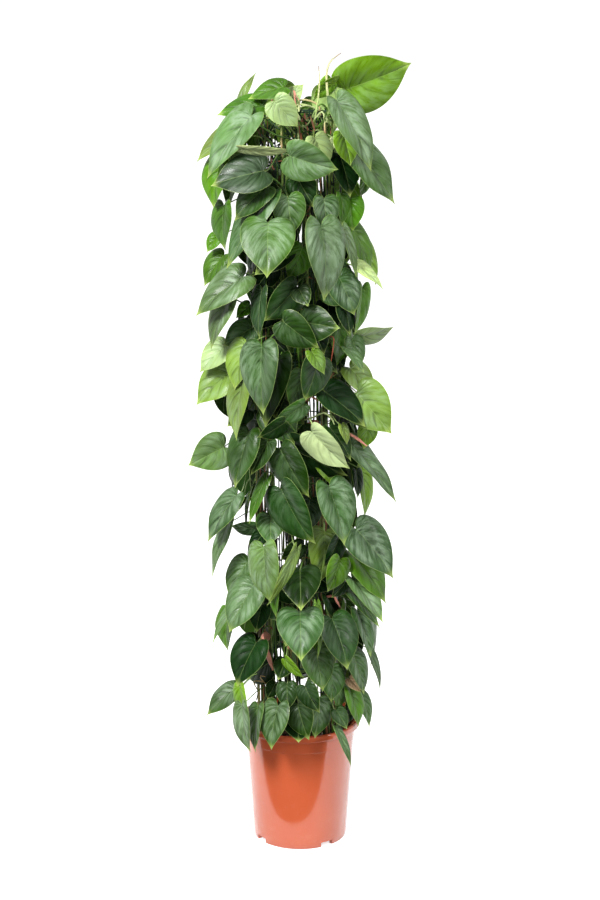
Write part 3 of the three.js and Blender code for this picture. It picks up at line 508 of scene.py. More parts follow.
def leaves_of_the_solids():
    """Every leaf that the solids have, with its vine, the height of its petiole's root and its tone."""
    corners = SolidCorners()

    def keep(candidates, tone):
        for leaf in candidates:
            vine = corners.vine_of(leaf)
            if vine is not None:
                leaf.vine, leaf.root, leaf.tone = vine, corners.petiole_height(vine, leaf), tone
                return [leaf]
        return []

    leaves = []
    for row, tone in zip(FRONT_LEAVES, FRONT_TONES):
        leaves += keep((front_leaf(row, push) for push in PUSHES), tone)
    for number, tries in draws_for_back_leaves():
        tone = random.Random(number).choices("gdblp", (26, 46, 14, 11, 3))[0]
        found = keep((back_leaf(number, draws, push) for draws in tries for push in BACK_PUSHES), tone)
        for leaf in found:
            if leaf.base[2] > BRIGHT_ABOVE:
                leaf.tone = "mblq"[number % 4]
        leaves += found
    return leaves


def loose_leaves():
    leaves = []
    for *row, tone in LOOSE_LEAVES:
        leaf = front_leaf(row, 0)
        leaf.vine, leaf.tone = vine_beside(leaf.base), tone
        leaf.root = root_height(leaf.vine, leaf.base[2] - 20)
        leaves.append(leaf)
    return leaves


# Leaves close to the column
BLADE_SAMPLES = [
    (u, v)
    for u in (-0.1, 0.1, 0.3, 0.5, 0.7, 0.85, 1)
    for v in (-0.85, -0.4, 0, 0.4, 0.85)
    if abs(v) <= 1.25 * (1 - u)
]


def samples_of(leaf):
    return np.array([blade_point(leaf, u, v) for u, v in BLADE_SAMPLES])


def seen_at(points):
    """Where points lie on the view plane."""
    rays = points - EYE
    scale = VIEW_DISTANCE / (rays @ INTO)
    return (rays @ RIGHT) * scale, (rays @ UP) * scale


def inner_leaf(number, draw):
    """A small leaf that hangs close to the column; just above the pot it stands out over the rim."""
    height = lerp(INNER_LOWEST, INNER_HIGHEST, (number + draw.random()) / INNER_LEAVES)
    azimuth = 2 * math.pi * fraction(number * GOLDEN_SHARE) + draw.uniform(-0.25, 0.25)
    out = outward_at(azimuth)
    base = at_column(height, azimuth, column_radius(height) + draw.uniform(9, 34))
    over_rim = 1 - smoothstep(330, 390, height)
    lean = math.radians(lerp(draw.uniform(0, 26), draw.uniform(66, 88), over_rim))
    along, up = hanging(out, lean, draw.uniform(-60, 60), 0.35, draw.uniform(-32, 32))
    length = draw.uniform(56, 94)
    vine = nearest_vine(azimuth)
    return make_leaf(
        base, along, up, length, length * WIDTH_TO_LENGTH,
        vine=vine, root=root_height(vine, height + draw.uniform(-24, 10)),
        # k, the darkest tone, is painted shade for leaves deep by the column
        tone=draw.choices("kdsb", (46, 30, 16, 8))[0],
    )


def closes_a_window(spots):
    """Whether a leaf would stand in a window, or out beyond the column."""
    x, z = seen_at(spots)
    if np.any(np.abs(x) > INNER_HALF_SPREAD):
        return True
    for left, right, low, high in WINDOWS:
        beside = (x > left - WINDOW_EDGE) & (x < right + WINDOW_EDGE)
        level = (z > low - WINDOW_EDGE) & (z < high + WINDOW_EDGE)
        if np.any(beside & level):
            return True
    return False


def leaves_near_the_column(others):
    taken = np.concatenate([samples_of(leaf) for leaf in others])
    found = []
    for number in range(INNER_LEAVES):
        draw = random.Random(number + 4000)
        for _ in range(INNER_TRIES):
            leaf = inner_leaf(number, draw)
            spots = samples_of(leaf)
            if closes_a_window(spots):
                continue
            gaps = np.linalg.norm(spots[:, None, :] - taken[None, :, :], axis=2)
            if gaps.min() > INNER_ROOM:
                found.append(leaf)
                taken = np.concatenate([taken, spots])
                break
    return found


# Meshes
SHARP_ANGLE = math.radians(50)


def add_object(name, data):
    thing = bpy.data.objects.new(name, data)
    bpy.context.scene.collection.objects.link(thing)
    return thing


class Batch:
    """Points and faces of one piece, in millimetres, with what its materials read at each face's corners."""

    def __init__(self):
        self.points, self.faces, self.slots, self.tints, self.guides = [], [], [], [], []
        self.count = 0

    def add(self, points, faces, slot, tints, guides):
        """tints and guides have a row for each corner of each face, in the faces' order."""
        points = np.asarray(points, float)
        self.points.append(points)
        self.faces += [tuple(i + self.count for i in face) for face in faces]
        self.slots += [slot] * len(faces)
        tints = np.asarray(tints, float)
        if tints.shape[1] == 3:
            tints = np.concatenate([tints, np.zeros((len(tints), 1))], axis=1)
        self.tints.append(tints)
        self.guides.append(np.asarray(guides, float))
        self.count += len(points)

    def add_plain(self, points, faces, colour):
        """Adds faces of one colour, with nothing to guide the material."""
        corners = sum(len(face) for face in faces)
        self.add(points, faces, 0, np.tile(colour, (corners, 1)), np.zeros((corners, 3)))

    def build(self, name, materials):
        mesh = bpy.data.meshes.new(name)
        mesh.from_pydata((np.concatenate(self.points) * MM).tolist(), [], self.faces)
        for material in materials:
            mesh.materials.append(material)
        mesh.polygons.foreach_set("material_index", np.array(self.slots, np.int32))
        tint = mesh.attributes.new("tint", "FLOAT_COLOR", "CORNER")
        tint.data.foreach_set("color", np.concatenate(self.tints).astype(np.float32).ravel())
        guide = mesh.attributes.new("guide", "FLOAT_VECTOR", "CORNER")
        guide.data.foreach_set("vector", np.concatenate(self.guides).astype(np.float32).ravel())
        mesh.shade_smooth()
        mesh.set_sharp_from_angle(angle=SHARP_ANGLE)
        return add_object(name, mesh)


def tube(path, radii, sides, flatten=1.0, start_side=None):
    """Rings round a path, closed at its ends: points, faces and each corner's ring and place round it."""
    path = np.asarray(path, float)
    tangents = np.gradient(path, axis=0)
    tangents /= np.linalg.norm(tangents, axis=1)[:, None]
    side = start_side
    if side is None:
        side = vec(0, 0, 1) if abs(tangents[0][2]) < 0.9 else vec(1, 0, 0)
    angles = np.arange(sides) * (2 * math.pi / sides)
    cosines, sines = np.cos(angles), np.sin(angles)
    points = []
    for centre, tangent, radius in zip(path, tangents, radii):
        side = unit(side - tangent * (side @ tangent))
        other = np.cross(tangent, side)
        points.append(centre + radius * (np.outer(cosines, side) + flatten * np.outer(sines, other)))
    faces, marks = [], []
    for i in range(len(path) - 1):
        for k in range(sides):
            a, b = i * sides + k, i * sides + (k + 1) % sides
            faces.append((a, b, b + sides, a + sides))
            marks += [(i, k), (i, k + 1), (i + 1, k + 1), (i + 1, k)]
    last = (len(path) - 1) * sides
    faces.append(tuple(reversed(range(sides))))
    faces.append(tuple(range(last, last + sides)))
    marks += [(0, k) for k in reversed(range(sides))] + [(len(path) - 1, k) for k in range(sides)]
    return np.concatenate(points), faces, np.array(marks)


def lengths_along(path):
    """How far each point of a path is from its start."""
    steps = np.linalg.norm(np.diff(np.asarray(path), axis=0), axis=1)
    return np.concatenate([[0], np.cumsum(steps)])


def add_tube(batch, path, radii, sides, slot, tints, **options):
    """tints has one colour for each point of the path, or one for all."""
    points, faces, marks = tube(path, radii, sides, **options)
    tints = np.asarray(tints, float)
    if tints.ndim == 1:
        tints = np.tile(tints, (len(path), 1))
    guides = np.stack([lengths_along(path)[marks[:, 0]], marks[:, 1] / sides, np.zeros(len(marks))], axis=1)
    batch.add(points, faces, slot, tints[marks[:, 0]], guides)


def smooth_curve(points, count):
    """count points, evenly spaced, on a smooth curve through the given ones."""
    points = np.asarray(points, float)
    padded = np.concatenate([2 * points[:1] - points[1:2], points, 2 * points[-1:] - points[-2:-1]])
    t = np.linspace(0, 1, 12, endpoint=False)[:, None]
    fine = []
    for a, b, c, d in zip(padded, padded[1:], padded[2:], padded[3:]):
        bend = (2 * a - 5 * b + 4 * c - d) * t**2
        fine.append(0.5 * (2 * b + (c - a) * t + bend + (3 * b - a - 3 * c + d) * t**3))
    fine = np.concatenate(fine + [padded[-2:-1]])
    lengths = lengths_along(fine)
    wanted = np.linspace(0, lengths[-1], count)
    return np.stack([np.interp(wanted, lengths, fine[:, k]) for k in range(fine.shape[1])], axis=1)


# The blade's grid: rows run from the notch along the margin to the tip, columns from the midrib to the margin
ROWS = 28
COLUMNS = 8
JOINT_SHARE = 0.36  # rows before this start where the petiole meets the blade
VEIN_START = 2.8  # the veins leave the midrib mostly near the petiole
VEIN_ARCH = 0.05
LATERAL_VEINS = 7.0
BLADE_MIDDLE = 0.45  # half thickness at the midrib
BLADE_EDGE = 0.2

# Half of the margin from the notch to the tip: share of the length, share of the half width.
MARGIN = [
    (0, 0), (-0.08, 0.13), (-0.135, 0.36), (-0.13, 0.62), (-0.03, 0.86), (0.12, 0.985), (0.28, 1),
    (0.44, 0.93), (0.6, 0.76), (0.74, 0.52), (0.85, 0.28), (0.93, 0.1), (1, 0),
]


def margin_rows():
    """The margin's points, evenly spaced on a leaf of common shape."""
    shape = np.array(MARGIN, float) * (1, WIDTH_TO_LENGTH / 2)
    return smooth_curve(shape, ROWS + 1) / (1, WIDTH_TO_LENGTH / 2)


def make_grid():
    """Ids of the grid's points, their shares along and across, and the faces of one side of the blade."""
    ids = {}
    spots = [(0, 0, 1), (ROWS, 0, 1)]  # where the petiole meets the blade, and the tip
    for half in (1, -1):
        for i in range(ROWS + 1):
            for k in range(COLUMNS + 1):
                if i == 0 or (k == 0 and i / ROWS <= JOINT_SHARE):
                    ids[half, i, k] = 0
                elif i == ROWS:
                    ids[half, i, k] = 1
                elif k == 0 and half < 0:
                    ids[half, i, k] = ids[1, i, 0]
                else:
                    ids[half, i, k] = len(spots)
                    spots.append((i, k, half))
    faces, corners = [], []
    for half in (1, -1):
        for i in range(ROWS):
            for k in range(COLUMNS):
                loop = [(half, i, k), (half, i, k + 1), (half, i + 1, k + 1), (half, i + 1, k)][::half]
                kept = [spot for n, spot in enumerate(loop) if ids[spot] != ids[loop[n - 1]]]
                if len(kept) > 2:
                    faces.append(tuple(ids[spot] for spot in kept))
                    corners += kept
    loop = [ids[1, i, COLUMNS] for i in range(ROWS + 1)]
    loop += [ids[-1, i, COLUMNS] for i in range(ROWS - 1, 0, -1)]
    return SimpleNamespace(spots=np.array(spots), faces=faces, corners=np.array(corners), loop=loop)


GRID = make_grid()
MARGIN_ROWS = margin_rows()


def blade_shares(rows, columns, halves, shape):
    """(u, v) of grid places: u along the leaf from the petiole to the tip, v across it."""
    a, t = rows / ROWS, columns / COLUMNS
    row = rows.astype(int)
    margin_u = MARGIN_ROWS[row, 0]
    margin_u = np.where(margin_u < 0, margin_u * shape.lobes, margin_u)
    margin_u = margin_u + shape.belly * np.sin(math.pi * a) ** 2
    start = midrib_start(a)
    arch = VEIN_ARCH * 4 * t * (1 - t) * smoothstep(0.22, 0.5, a) * (1 - smoothstep(0.8, 1.0, a))
    u = start + (margin_u - start) * t - arch
    v = MARGIN_ROWS[row, 1] * (t + 0.16 * t * (1 - t)) * halves
    return u, v


def midrib_start(a):
    """Where a row that ends this far along the margin leaves the midrib."""
    return np.clip((a - JOINT_SHARE) / (1 - JOINT_SHARE), 0, 1) ** VEIN_START


def blade_heights(leaf, u, v, rows, columns, halves, shape):
    """How far each place of the blade stands above the plane of its midrib and margins' middle."""
    a, t = rows / ROWS, columns / COLUMNS
    half_width = leaf.width / 2
    spread = np.abs(MARGIN_ROWS[rows.astype(int), 1])
    fold = BLADE_FOLD * half_width * (np.sqrt(v * v + 0.003) - 0.055)
    droop = -BLADE_DROOP * leaf.length * u * np.abs(u)
    droop = droop - shape.curl * leaf.length * np.clip(u - 0.55, 0, 1) ** 2
    dome = half_width * spread * (shape.dome * np.sin(math.pi * t) - shape.rolled * t**4)
    swing = np.sin(2 * math.pi * shape.waves * a + shape.phase + halves)
    wave = shape.wave * t**2 * swing * np.sin(math.pi * a)
    vein = np.abs(np.sin(math.pi * (a * LATERAL_VEINS)))
    quilt = shape.quilt * (vein - 0.64) * np.sin(math.pi * np.clip(t, 0, 1)) ** 0.8
    twist = shape.twist * u * v * half_width
    return fold + droop + dome + wave + quilt + twist


def leaf_shape(leaf, seed):
    """A leaf's own small departures from the common shape."""
    draw = random.Random(seed)
    size = leaf.length / 120
    return SimpleNamespace(
        lobes=draw.uniform(0.8, 1.15), belly=draw.uniform(-0.025, 0.025), curl=draw.uniform(0, 0.36),
        dome=draw.uniform(0.07, 0.17), rolled=draw.uniform(0, 0.16), wave=draw.uniform(0.6, 2.4) * size,
        waves=draw.uniform(1.0, 2.2), phase=draw.uniform(0, 6.28), quilt=draw.uniform(0.2, 0.65) * size,
        twist=draw.uniform(-0.12, 0.12),
    )


UPPER, UNDER, STALK, SHEATH, SHADED = range(5)
SHADED_TONES = "kd"

# A tone's colour, which holds painted light and shade, and the share of painted grey sheen, a painted
# reflection, that lies on it
TONES = {
    "g": (46, 82, 14, 0.62), "h": (78, 110, 48, 1.0), "s": (28, 60, 6, 0.22), "n": (28, 50, 20, 0.22),
    "k": (10, 32, 1, 0.02), "d": (15, 44, 1, 0.08), "m": (64, 108, 0, 0.09), "b": (104, 148, 10, 0.32),
    "l": (112, 140, 42, 0.5), "q": (166, 190, 116, 0.6), "p": (208, 226, 158, 0.4), "t": (200, 166, 128, 0.0),
}
RIM_GUIDE = (0.0, 50.0, 0.0)  # far from the midrib and at the edge
# The grey-green of the painted sheen, a painted reflection of the bright surroundings
PAINTED_SHEEN = (134, 158, 126)
TIP = (176, 200, 96)


def leaf_tints(leaf, seed):
    """The blade's colour above and below, and its petiole's, as linear colours."""
    draw = random.Random(seed * 7 + 3)
    base = np.array(TONES[leaf.tone][:3], float)
    shade = draw.uniform(0.88, 1.1)
    warm = draw.uniform(-6, 6)
    upper = np.clip(base * shade + (warm, 0.4 * warm, -0.3 * warm), 4, 250)
    under = np.clip(upper * 0.6 + np.array((60, 84, 40)) * 0.6, 4, 250)
    young = {"l": 0.8, "p": 1.0, "b": 0.5}.get(leaf.tone, 0.15)
    stalk = lerp(np.array((78, 112, 44)), np.array((172, 200, 118)), young) * draw.uniform(0.85, 1.08)
    upper, under, stalk = linear(upper, under, np.clip(stalk, 4, 250))
    # The upper colour's alpha is its share of painted sheen, a painted reflection
    return np.append(upper, TONES[leaf.tone][3] * draw.uniform(0.8, 1.1)), np.append(under, 0), stalk


def add_blade(batch, leaf, seed):
    shape = leaf_shape(leaf, seed)
    upper, under, _ = leaf_tints(leaf, seed)
    rows, columns, halves = GRID.spots.T
    u, v = blade_shares(rows, columns, halves, shape)
    rise = blade_heights(leaf, u, v, rows, columns, halves, shape)
    middle = (
        leaf.base + np.outer(u * leaf.length, leaf.along) + np.outer(v * leaf.width / 2, leaf.side)
        + np.outer(rise, leaf.up)
    )
    half_thickness = lerp(BLADE_MIDDLE, BLADE_EDGE, columns / COLUMNS)
    lift = np.outer(half_thickness, leaf.up)
    top, bottom = middle + lift, middle - lift
    halves, rows, columns = GRID.corners.T
    cu, cv = blade_shares(rows, columns, halves, shape)
    rib = np.abs(cv) * leaf.width / 2
    start = midrib_start(rows / ROWS)
    chord = np.hypot((MARGIN_ROWS[rows, 0] - start) * leaf.length, MARGIN_ROWS[rows, 1] * leaf.width / 2)
    edge = (1 - columns / COLUMNS) * chord
    guides = np.stack([rows / ROWS * LATERAL_VEINS, rib, edge], axis=1)
    at_tip = 0.8 * smoothstep(0.84, 0.99, cu)[:, None]
    upper_tints = lerp(np.tile(upper, (len(guides), 1)), np.array((*srgb(*TIP), 0.2)), at_tip)
    slot = SHADED if leaf.tone in SHADED_TONES else UPPER
    batch.add(top, GRID.faces, slot, upper_tints, guides)
    first = batch.count - len(top)
    flipped, order, at = [], [], 0
    for face in GRID.faces:
        flipped.append(face[::-1])
        order += list(range(at + len(face) - 1, at - 1, -1))
        at += len(face)
    batch.add(bottom, flipped, UNDER, np.tile(under, (len(guides), 1)), guides[order])
    second = batch.count - len(bottom)
    rim = []
    for a, b in zip(GRID.loop, GRID.loop[1:] + GRID.loop[:1]):
        rim.append((first + b, first + a, second + a, second + b))
    batch.faces += rim
    batch.slots += [slot] * len(rim)
    batch.tints.append(np.tile(lerp(upper, under, 0.5), (4 * len(rim), 1)))
    batch.guides.append(np.tile(RIM_GUIDE, (4 * len(rim), 1)))
    return shape


PETIOLE_SHARE = 0.72  # of the solid's petiole radius
RIB_SHARES = [0.05, 0.12, 0.25, 0.4, 0.58, 0.78]
RIB_RADII = [0.85, 0.7, 0.55, 0.42, 0.3, 0.15]  # shares of the petiole's


def add_petiole(batch, leaf, seed, shape):
    """The petiole, which goes on as the raised midrib of the blade's underside."""
    stalk = leaf_tints(leaf, seed)[2]
    controls = petiole_controls(leaf.vine, leaf.root, leaf)
    shares = np.linspace(0, 1, 13)
    path = [bezier(controls, t) for t in shares]
    radius = petiole_radius(leaf) * PETIOLE_SHARE
    radii = [radius * (1.45 - 0.45 * min(1, t / 0.18)) for t in shares]
    zeros = np.zeros(len(RIB_SHARES))
    rows = np.full(len(RIB_SHARES), ROWS)
    rise = blade_heights(leaf, np.array(RIB_SHARES), zeros, rows, zeros, zeros + 1, shape)
    path[-1] = path[-1] - leaf.up * (0.8 * radius)
    for u, height, keep in zip(RIB_SHARES, rise, RIB_RADII):
        lift = height - BLADE_MIDDLE - 0.35 * radius * keep
        path.append(leaf.base + leaf.along * (u * leaf.length) + leaf.up * lift)
        radii.append(radius * keep)
    young = np.array(srgb(*PALE_STALK))
    tints = [lerp(stalk, young, 0.5 * smoothstep(0.6, 1.0, t)) for t in shares]
    tints += [lerp(stalk, young, 0.5)] * len(RIB_SHARES)
    add_tube(batch, path, radii, 6, STALK, tints)


def add_stem(batch, vine, nodes):
    """The stem, with a ring at each petiole."""
    top = vine_top(vine)
    heights = np.arange(196, top, 11.0)
    draw = random.Random(vine + 50)
    phases = [draw.uniform(0, 6.28) for _ in range(2)]
    path, radii, tints = [], [], []
    old, young, knot = linear((66, 80, 36), (140, 170, 84), (140, 130, 84))
    for z in list(heights) + [top]:
        wobble = vec(math.sin(z / 41 + phases[0]), math.cos(z / 47 + phases[1]), 0) * 0.9
        path.append(stem_point(vine, max(z, SOIL_TOP + 0.01)) * (1, 1, 0) + vec(0, 0, z) + wobble)
        near = max((math.exp(-(((z - node) / 5) ** 2)) for node in nodes), default=0)
        radii.append(stem_radius(vine, z) * (0.84 + 0.26 * near))
        share = smoothstep(300, 1400, z)
        tints.append(lerp(lerp(old, young, share * 0.8), knot, 0.5 * near))
    radii[-1] *= 0.6
    add_tube(batch, path, radii, 8, STALK, tints)


def add_shoots(batch, vine):
    """Sheathed tips that stand out above the column."""
    base, flush, tip = linear((176, 200, 120), (208, 204, 150), (132, 78, 50))
    for shoot in SHOOTS:
        if shoot.vine != vine:
            continue
        seen = [on_view_ray(x, z, shoot.depth) for x, z in shoot.points]
        path = smooth_curve([stem_point(vine, vine_top(vine) - 8)] + seen, 18)
        shares = np.linspace(0, 1, 18)
        radii = 0.62 * np.interp(shares, np.linspace(0, 1, len(shoot.radii) + 1), [2.0] + shoot.radii)
        tints = [lerp(base, flush, smoothstep(0.3, 0.7, t)) for t in shares]
        tints = [lerp(tint, tip, smoothstep(0.88, 1, t)) for tint, t in zip(tints, shares)]
        add_tube(batch, path, radii, 8, SHEATH, tints, flatten=0.6)


def bent_path(start, way, length, bend, steps):
    return [start + way * (length * t) + bend * t * t for t in steps]


def add_root(batch, draw, foot, out, around, rust, brown):
    """A short aerial root."""
    steps = np.linspace(0, 1, 6)
    way = around * draw.choice((-1, 1)) - out * draw.uniform(0.1, 0.5) + vec(0, 0, draw.uniform(-0.6, 0.3))
    length = draw.uniform(9, 26)
    bend = vec(draw.uniform(-1, 1), draw.uniform(-1, 1), draw.uniform(-1.4, 0.4)) * (0.3 * length)
    path = bent_path(foot, unit(way), length, bend, steps)
    radii = np.linspace(0.95, 0.4, 6) * draw.uniform(0.8, 1.1)
    add_tube(batch, path, radii, 5, SHEATH, [lerp(rust, brown, t) for t in steps])


def add_dry_sheath(batch, draw, foot, out, around, colours):
    """The dry remains of a sheath; the colours are pink, straw and rust."""
    steps = np.linspace(0, 1, 9)
    length = draw.uniform(24, 52)
    way = vec(0, 0, draw.choice((1, 1, -1))) + around * draw.uniform(-0.5, 0.5) + out * draw.uniform(0.1, 0.5)
    bend = (around * draw.uniform(-1, 1) + out * draw.uniform(0, 1)) * (0.25 * length)
    path = bent_path(foot + out * 3, unit(way), length, bend, steps)
    radii = [1.9 * math.sin(math.pi * min(1, 0.15 + 0.85 * t)) ** 0.6 + 0.2 for t in steps]
    colour = draw.choice(colours)
    tints = [lerp(colour, colours[1], 0.5 * t) for t in steps]
    add_tube(batch, path, radii, 6, SHEATH, tints, flatten=0.28, start_side=around)


def add_roots_and_sheaths(batch, vine, nodes):
    draw = random.Random(vine + 900)
    brown, rust, pink, straw = linear((96, 66, 42), (140, 80, 56), (206, 136, 112), (186, 154, 108))
    for node in sorted(nodes):
        foot = stem_point(vine, node)
        out = unit(foot - column_axis(node))
        around = np.cross(vec(0, 0, 1), out)
        for _ in range(draw.choice((0, 1, 2, 2))):
            add_root(batch, draw, foot, out, around, rust, brown)
        if draw.random() < 0.32:
            add_dry_sheath(batch, draw, foot, out, around, (pink, straw, rust))


def add_strand(batch, strand):
    """A stalk or sheath that comes from the vine's stem and passes where the photo shows it."""
    points, depth, radius, colours = strand
    seen = [on_view_ray(x, z, depth) for x, z in points]
    vine = strand_vine(strand)
    root = stem_point(vine, min(max(seen[0][2] - 12, LOWEST_NODE), vine_top(vine)))
    path = smooth_curve([root] + seen, 16)
    shares = np.linspace(0, 1, 16)
    radii = [radius * min(1, 0.55 + 2.2 * t) * (1 - 0.6 * smoothstep(0.8, 1, t)) for t in shares]
    first, last = linear(*colours)
    flat = 0.45 if radius > 2.1 else 1.0
    slot = SHEATH if colours[1] in (PINK, SALMON, STRAW) else STALK
    tints = [lerp(first, last, smoothstep(0.35, 0.9, t)) for t in shares]
    add_tube(batch, path, radii, 7, slot, tints, flatten=flat)


def add_knots(batch, vine):
    """Short dark stubs of roots and petioles that cling to the mesh's crossings."""
    draw = random.Random(vine + 1700)
    colours = linear((22, 40, 24), (30, 50, 24), (64, 48, 32), (22, 40, 24))
    for centre, spread, count in KNOTS:
        for _ in range(count):
            z = centre + draw.uniform(-spread, spread)
            azimuth = vine_azimuth(vine) + draw.uniform(-0.23, 0.23)
            foot = at_column(z, azimuth, column_radius(z) + draw.uniform(0, 6))
            colour = draw.choice(colours)
            for _ in range(draw.choice((2, 3, 4))):
                way = unit(vec(draw.uniform(-1, 1), draw.uniform(-1, 1), draw.uniform(-1, 1)))
                length = draw.uniform(4, 9)
                path = [foot + way * (length * t) for t in (-0.4, 0, 0.5, 1)]
                thick = draw.uniform(1.2, 2.2)
                add_tube(batch, path, [0.4 * thick, thick, 0.8 * thick, 0.3], 5, STALK, colour)


def strand_vine(strand):
    points, depth, _, _ = strand
    return vine_beside(on_view_ray(*points[0], depth))


# Stems seen by themselves in the gaps: x, from z, to z on the view plane, radius, colour
CANES = [
    (2, 634, 470, 2.0, (150, 96, 66)), (11, 640, 476, 1.7, (60, 84, 40)),
    (19, 626, 470, 1.9, (146, 164, 100)),
    (27, 640, 482, 1.5, (26, 48, 26)), (35, 630, 470, 1.8, (92, 118, 56)), (43, 640, 480, 1.6, (34, 58, 30)),
    (50, 640, 486, 1.4, (26, 48, 26)), (-8, 640, 520, 1.9, (52, 78, 34)), (-18, 600, 510, 2.0, (120, 90, 60)),
    (-28, 600, 500, 1.8, (96, 124, 60)), (28, 130, 40, 1.7, (34, 58, 30)), (10, 128, 30, 1.9, (78, 104, 48)),
    (-4, 470, 380, 1.8, (34, 58, 30)), (6, 480, 400, 1.6, (66, 92, 42)), (-8, 330, 240, 2.0, (58, 84, 36)),
    (-24, 300, 240, 1.7, (34, 58, 30)), (-60, -370, -480, 2.4, (88, 110, 50)),
    (-92, -380, -470, 1.8, (40, 62, 30)),
]

# Heights, spreads and counts on each vine's side of the mesh of the knots of root stubs
KNOTS = [(1338, 9, 4), (1376, 8, 3), (1476, 10, 4), (1430, 20, 3), (1060, 10, 2), (860, 14, 2), (600, 14, 2)]


def add_canes(batch, vine):
    """The canes whose middle is nearest to this vine."""
    for number, (x, high, low, radius, colour) in enumerate(CANES):
        draw = random.Random(number + 60)
        path = []
        for z in np.linspace(high, low, 8):
            spot = on_view_ray(x + draw.uniform(-1.5, 1.5), z, 0)
            across = spot[0] - column_axis(spot[2])[0]
            depth = math.sqrt(max(column_radius(spot[2]) ** 2 - across**2, 0)) + 6
            path.append(on_view_ray(x + draw.uniform(-1.5, 1.5), z, depth))
        if vine_beside(path[4]) == vine:
            add_tube(batch, smooth_curve(path, 20), [radius] * 20, 6, STALK, srgb(*colour))


RUNNERS_PER_VINE = 5


def add_runners(batch, vine):
    """Thin stems that climb beside the vine's own, some of them to the top and some only part of the way."""
    draw = random.Random(vine + 300)
    colours = linear(DARK_STALK, (58, 84, 36), GREEN_STALK, (128, 122, 70), (150, 170, 96), (150, 104, 74))
    period = 90 + 9 * (vine % 5)
    for _ in range(RUNNERS_PER_VINE):
        azimuth = vine_azimuth(vine) + draw.uniform(-0.22, 0.22)
        low = draw.choice((SOIL_TOP - 10, SOIL_TOP - 10, draw.uniform(400, 1000)))
        high = min(low + draw.uniform(350, 1300), draw.uniform(1380, 1490))
        phase, swing, stand = draw.uniform(0, 6.28), draw.uniform(0.03, 0.1), draw.uniform(2.6, 9)
        path = []
        for z in np.arange(low, high, 24.0):
            around = azimuth + swing * math.sin(z / period + phase) + 0.02 * math.sin(z / 23 + phase)
            radius = column_radius(z) + stand + 1.6 * math.sin(z / 57 + phase)
            path.append(at_column(z, around, radius))
        thick = draw.uniform(1.2, 2.3)
        colour = draw.choice(colours)
        radii = [thick * (1 - 0.4 * n / len(path)) for n in range(len(path))]
        add_tube(batch, path, radii, 6, STALK, colour)


LAST_ODD_COIL = 9  # of the vines with odd numbers above this, none has a coil


def add_coils(batch, vine):
    """Young stems that lie round the open top of the mesh."""
    draw = random.Random(vine + 700)
    pale, green, pink = linear(PALE_STALK, GREEN_STALK, PINK)
    if vine % 2 and vine > LAST_ODD_COIL:
        return
    start = vine_azimuth(vine)
    turns = 1 + (vine % 3) * 0.5
    sweep = draw.choice((-1, 1)) * draw.uniform(0.9, 2.4)
    base = draw.uniform(1446, 1478)
    rise, inwards = draw.uniform(6, 26), draw.uniform(-16, 8)
    steps = np.linspace(0, 1, 26)
    path = [stem_point(vine, vine_top(vine) - 14)]
    for t in steps:
        z = base + rise * math.sin(math.pi * t * turns) + 3 * math.sin(9 * t + vine)
        radius = column_radius(z) + 4 + inwards * t + 3 * math.sin(7 * t + vine)
        path.append(at_column(z, start + sweep * t, radius))
    path = smooth_curve(path, 34)
    colour = draw.choice((pale, pale, green, pale, green))
    end = draw.choice((pink, pale, colour))
    shares = np.linspace(0, 1, len(path))
    thick = draw.uniform(1.5, 2.5)
    radii = [thick * (1 - 0.55 * t) for t in shares]
    add_tube(batch, path, radii, 7, STALK, [lerp(colour, end, smoothstep(0.4, 1, t)) for t in shares])


TANGLE_LOW = 1372
TANGLE_HIGH = 1488
TANGLES_PER_VINE = 7


def add_tangle(batch, vine):
    """Thin stalks and roots that cross one another on the uppermost part of the mesh."""
    draw = random.Random(vine + 1200)
    dull, fresh = (26, 52, 30), (58, 92, 40)
    colours = (DARK_STALK, dull, dull, GREEN_STALK, fresh, PALE_STALK, PALE_STALK, PINK)
    for _ in range(TANGLES_PER_VINE):
        start = vine_azimuth(vine) + draw.uniform(-0.3, 0.3)
        sweep = draw.uniform(-1.1, 1.1)
        low, high = sorted((draw.uniform(TANGLE_LOW, TANGLE_HIGH), draw.uniform(TANGLE_LOW, TANGLE_HIGH)))
        stand, sag = draw.uniform(-4, 7), draw.uniform(-14, 14)
        path = []
        for t in np.linspace(0, 1, 10):
            z = lerp(low, high, t) + sag * math.sin(math.pi * t)
            path.append(at_column(z, start + sweep * t, column_radius(z) + stand + 3 * math.sin(5 * t)))
        thick = draw.uniform(1.0, 1.9)
        add_tube(batch, path, [thick] * 9 + [0.5 * thick], 6, STALK, srgb(*draw.choice(colours)))


def build_vines(materials):
    for vine in range(VINES):
        batch = Batch()
        own = [(seed, leaf) for seed, leaf in enumerate(leaves) if leaf.vine == vine]
        nodes = [leaf.root for _, leaf in own]
        for seed, leaf in own:
            shape = add_blade(batch, leaf, seed)
            add_petiole(batch, leaf, seed, shape)
        add_stem(batch, vine, nodes)
        for add in (add_runners, add_coils, add_tangle, add_knots, add_canes, add_shoots):
            add(batch, vine)
        for strand in STRANDS:
            if strand_vine(strand) == vine:
                add_strand(batch, strand)
        add_roots_and_sheaths(batch, vine, nodes)
        piece = batch.build(f"vine_{vine + 1}_foliage", materials)
        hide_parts(f"vine_{vine + 1}")
        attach(piece, "root")


# Pot
def pot_outer(z):
    return POT_FOOT_RADIUS + POT_TAPER * z


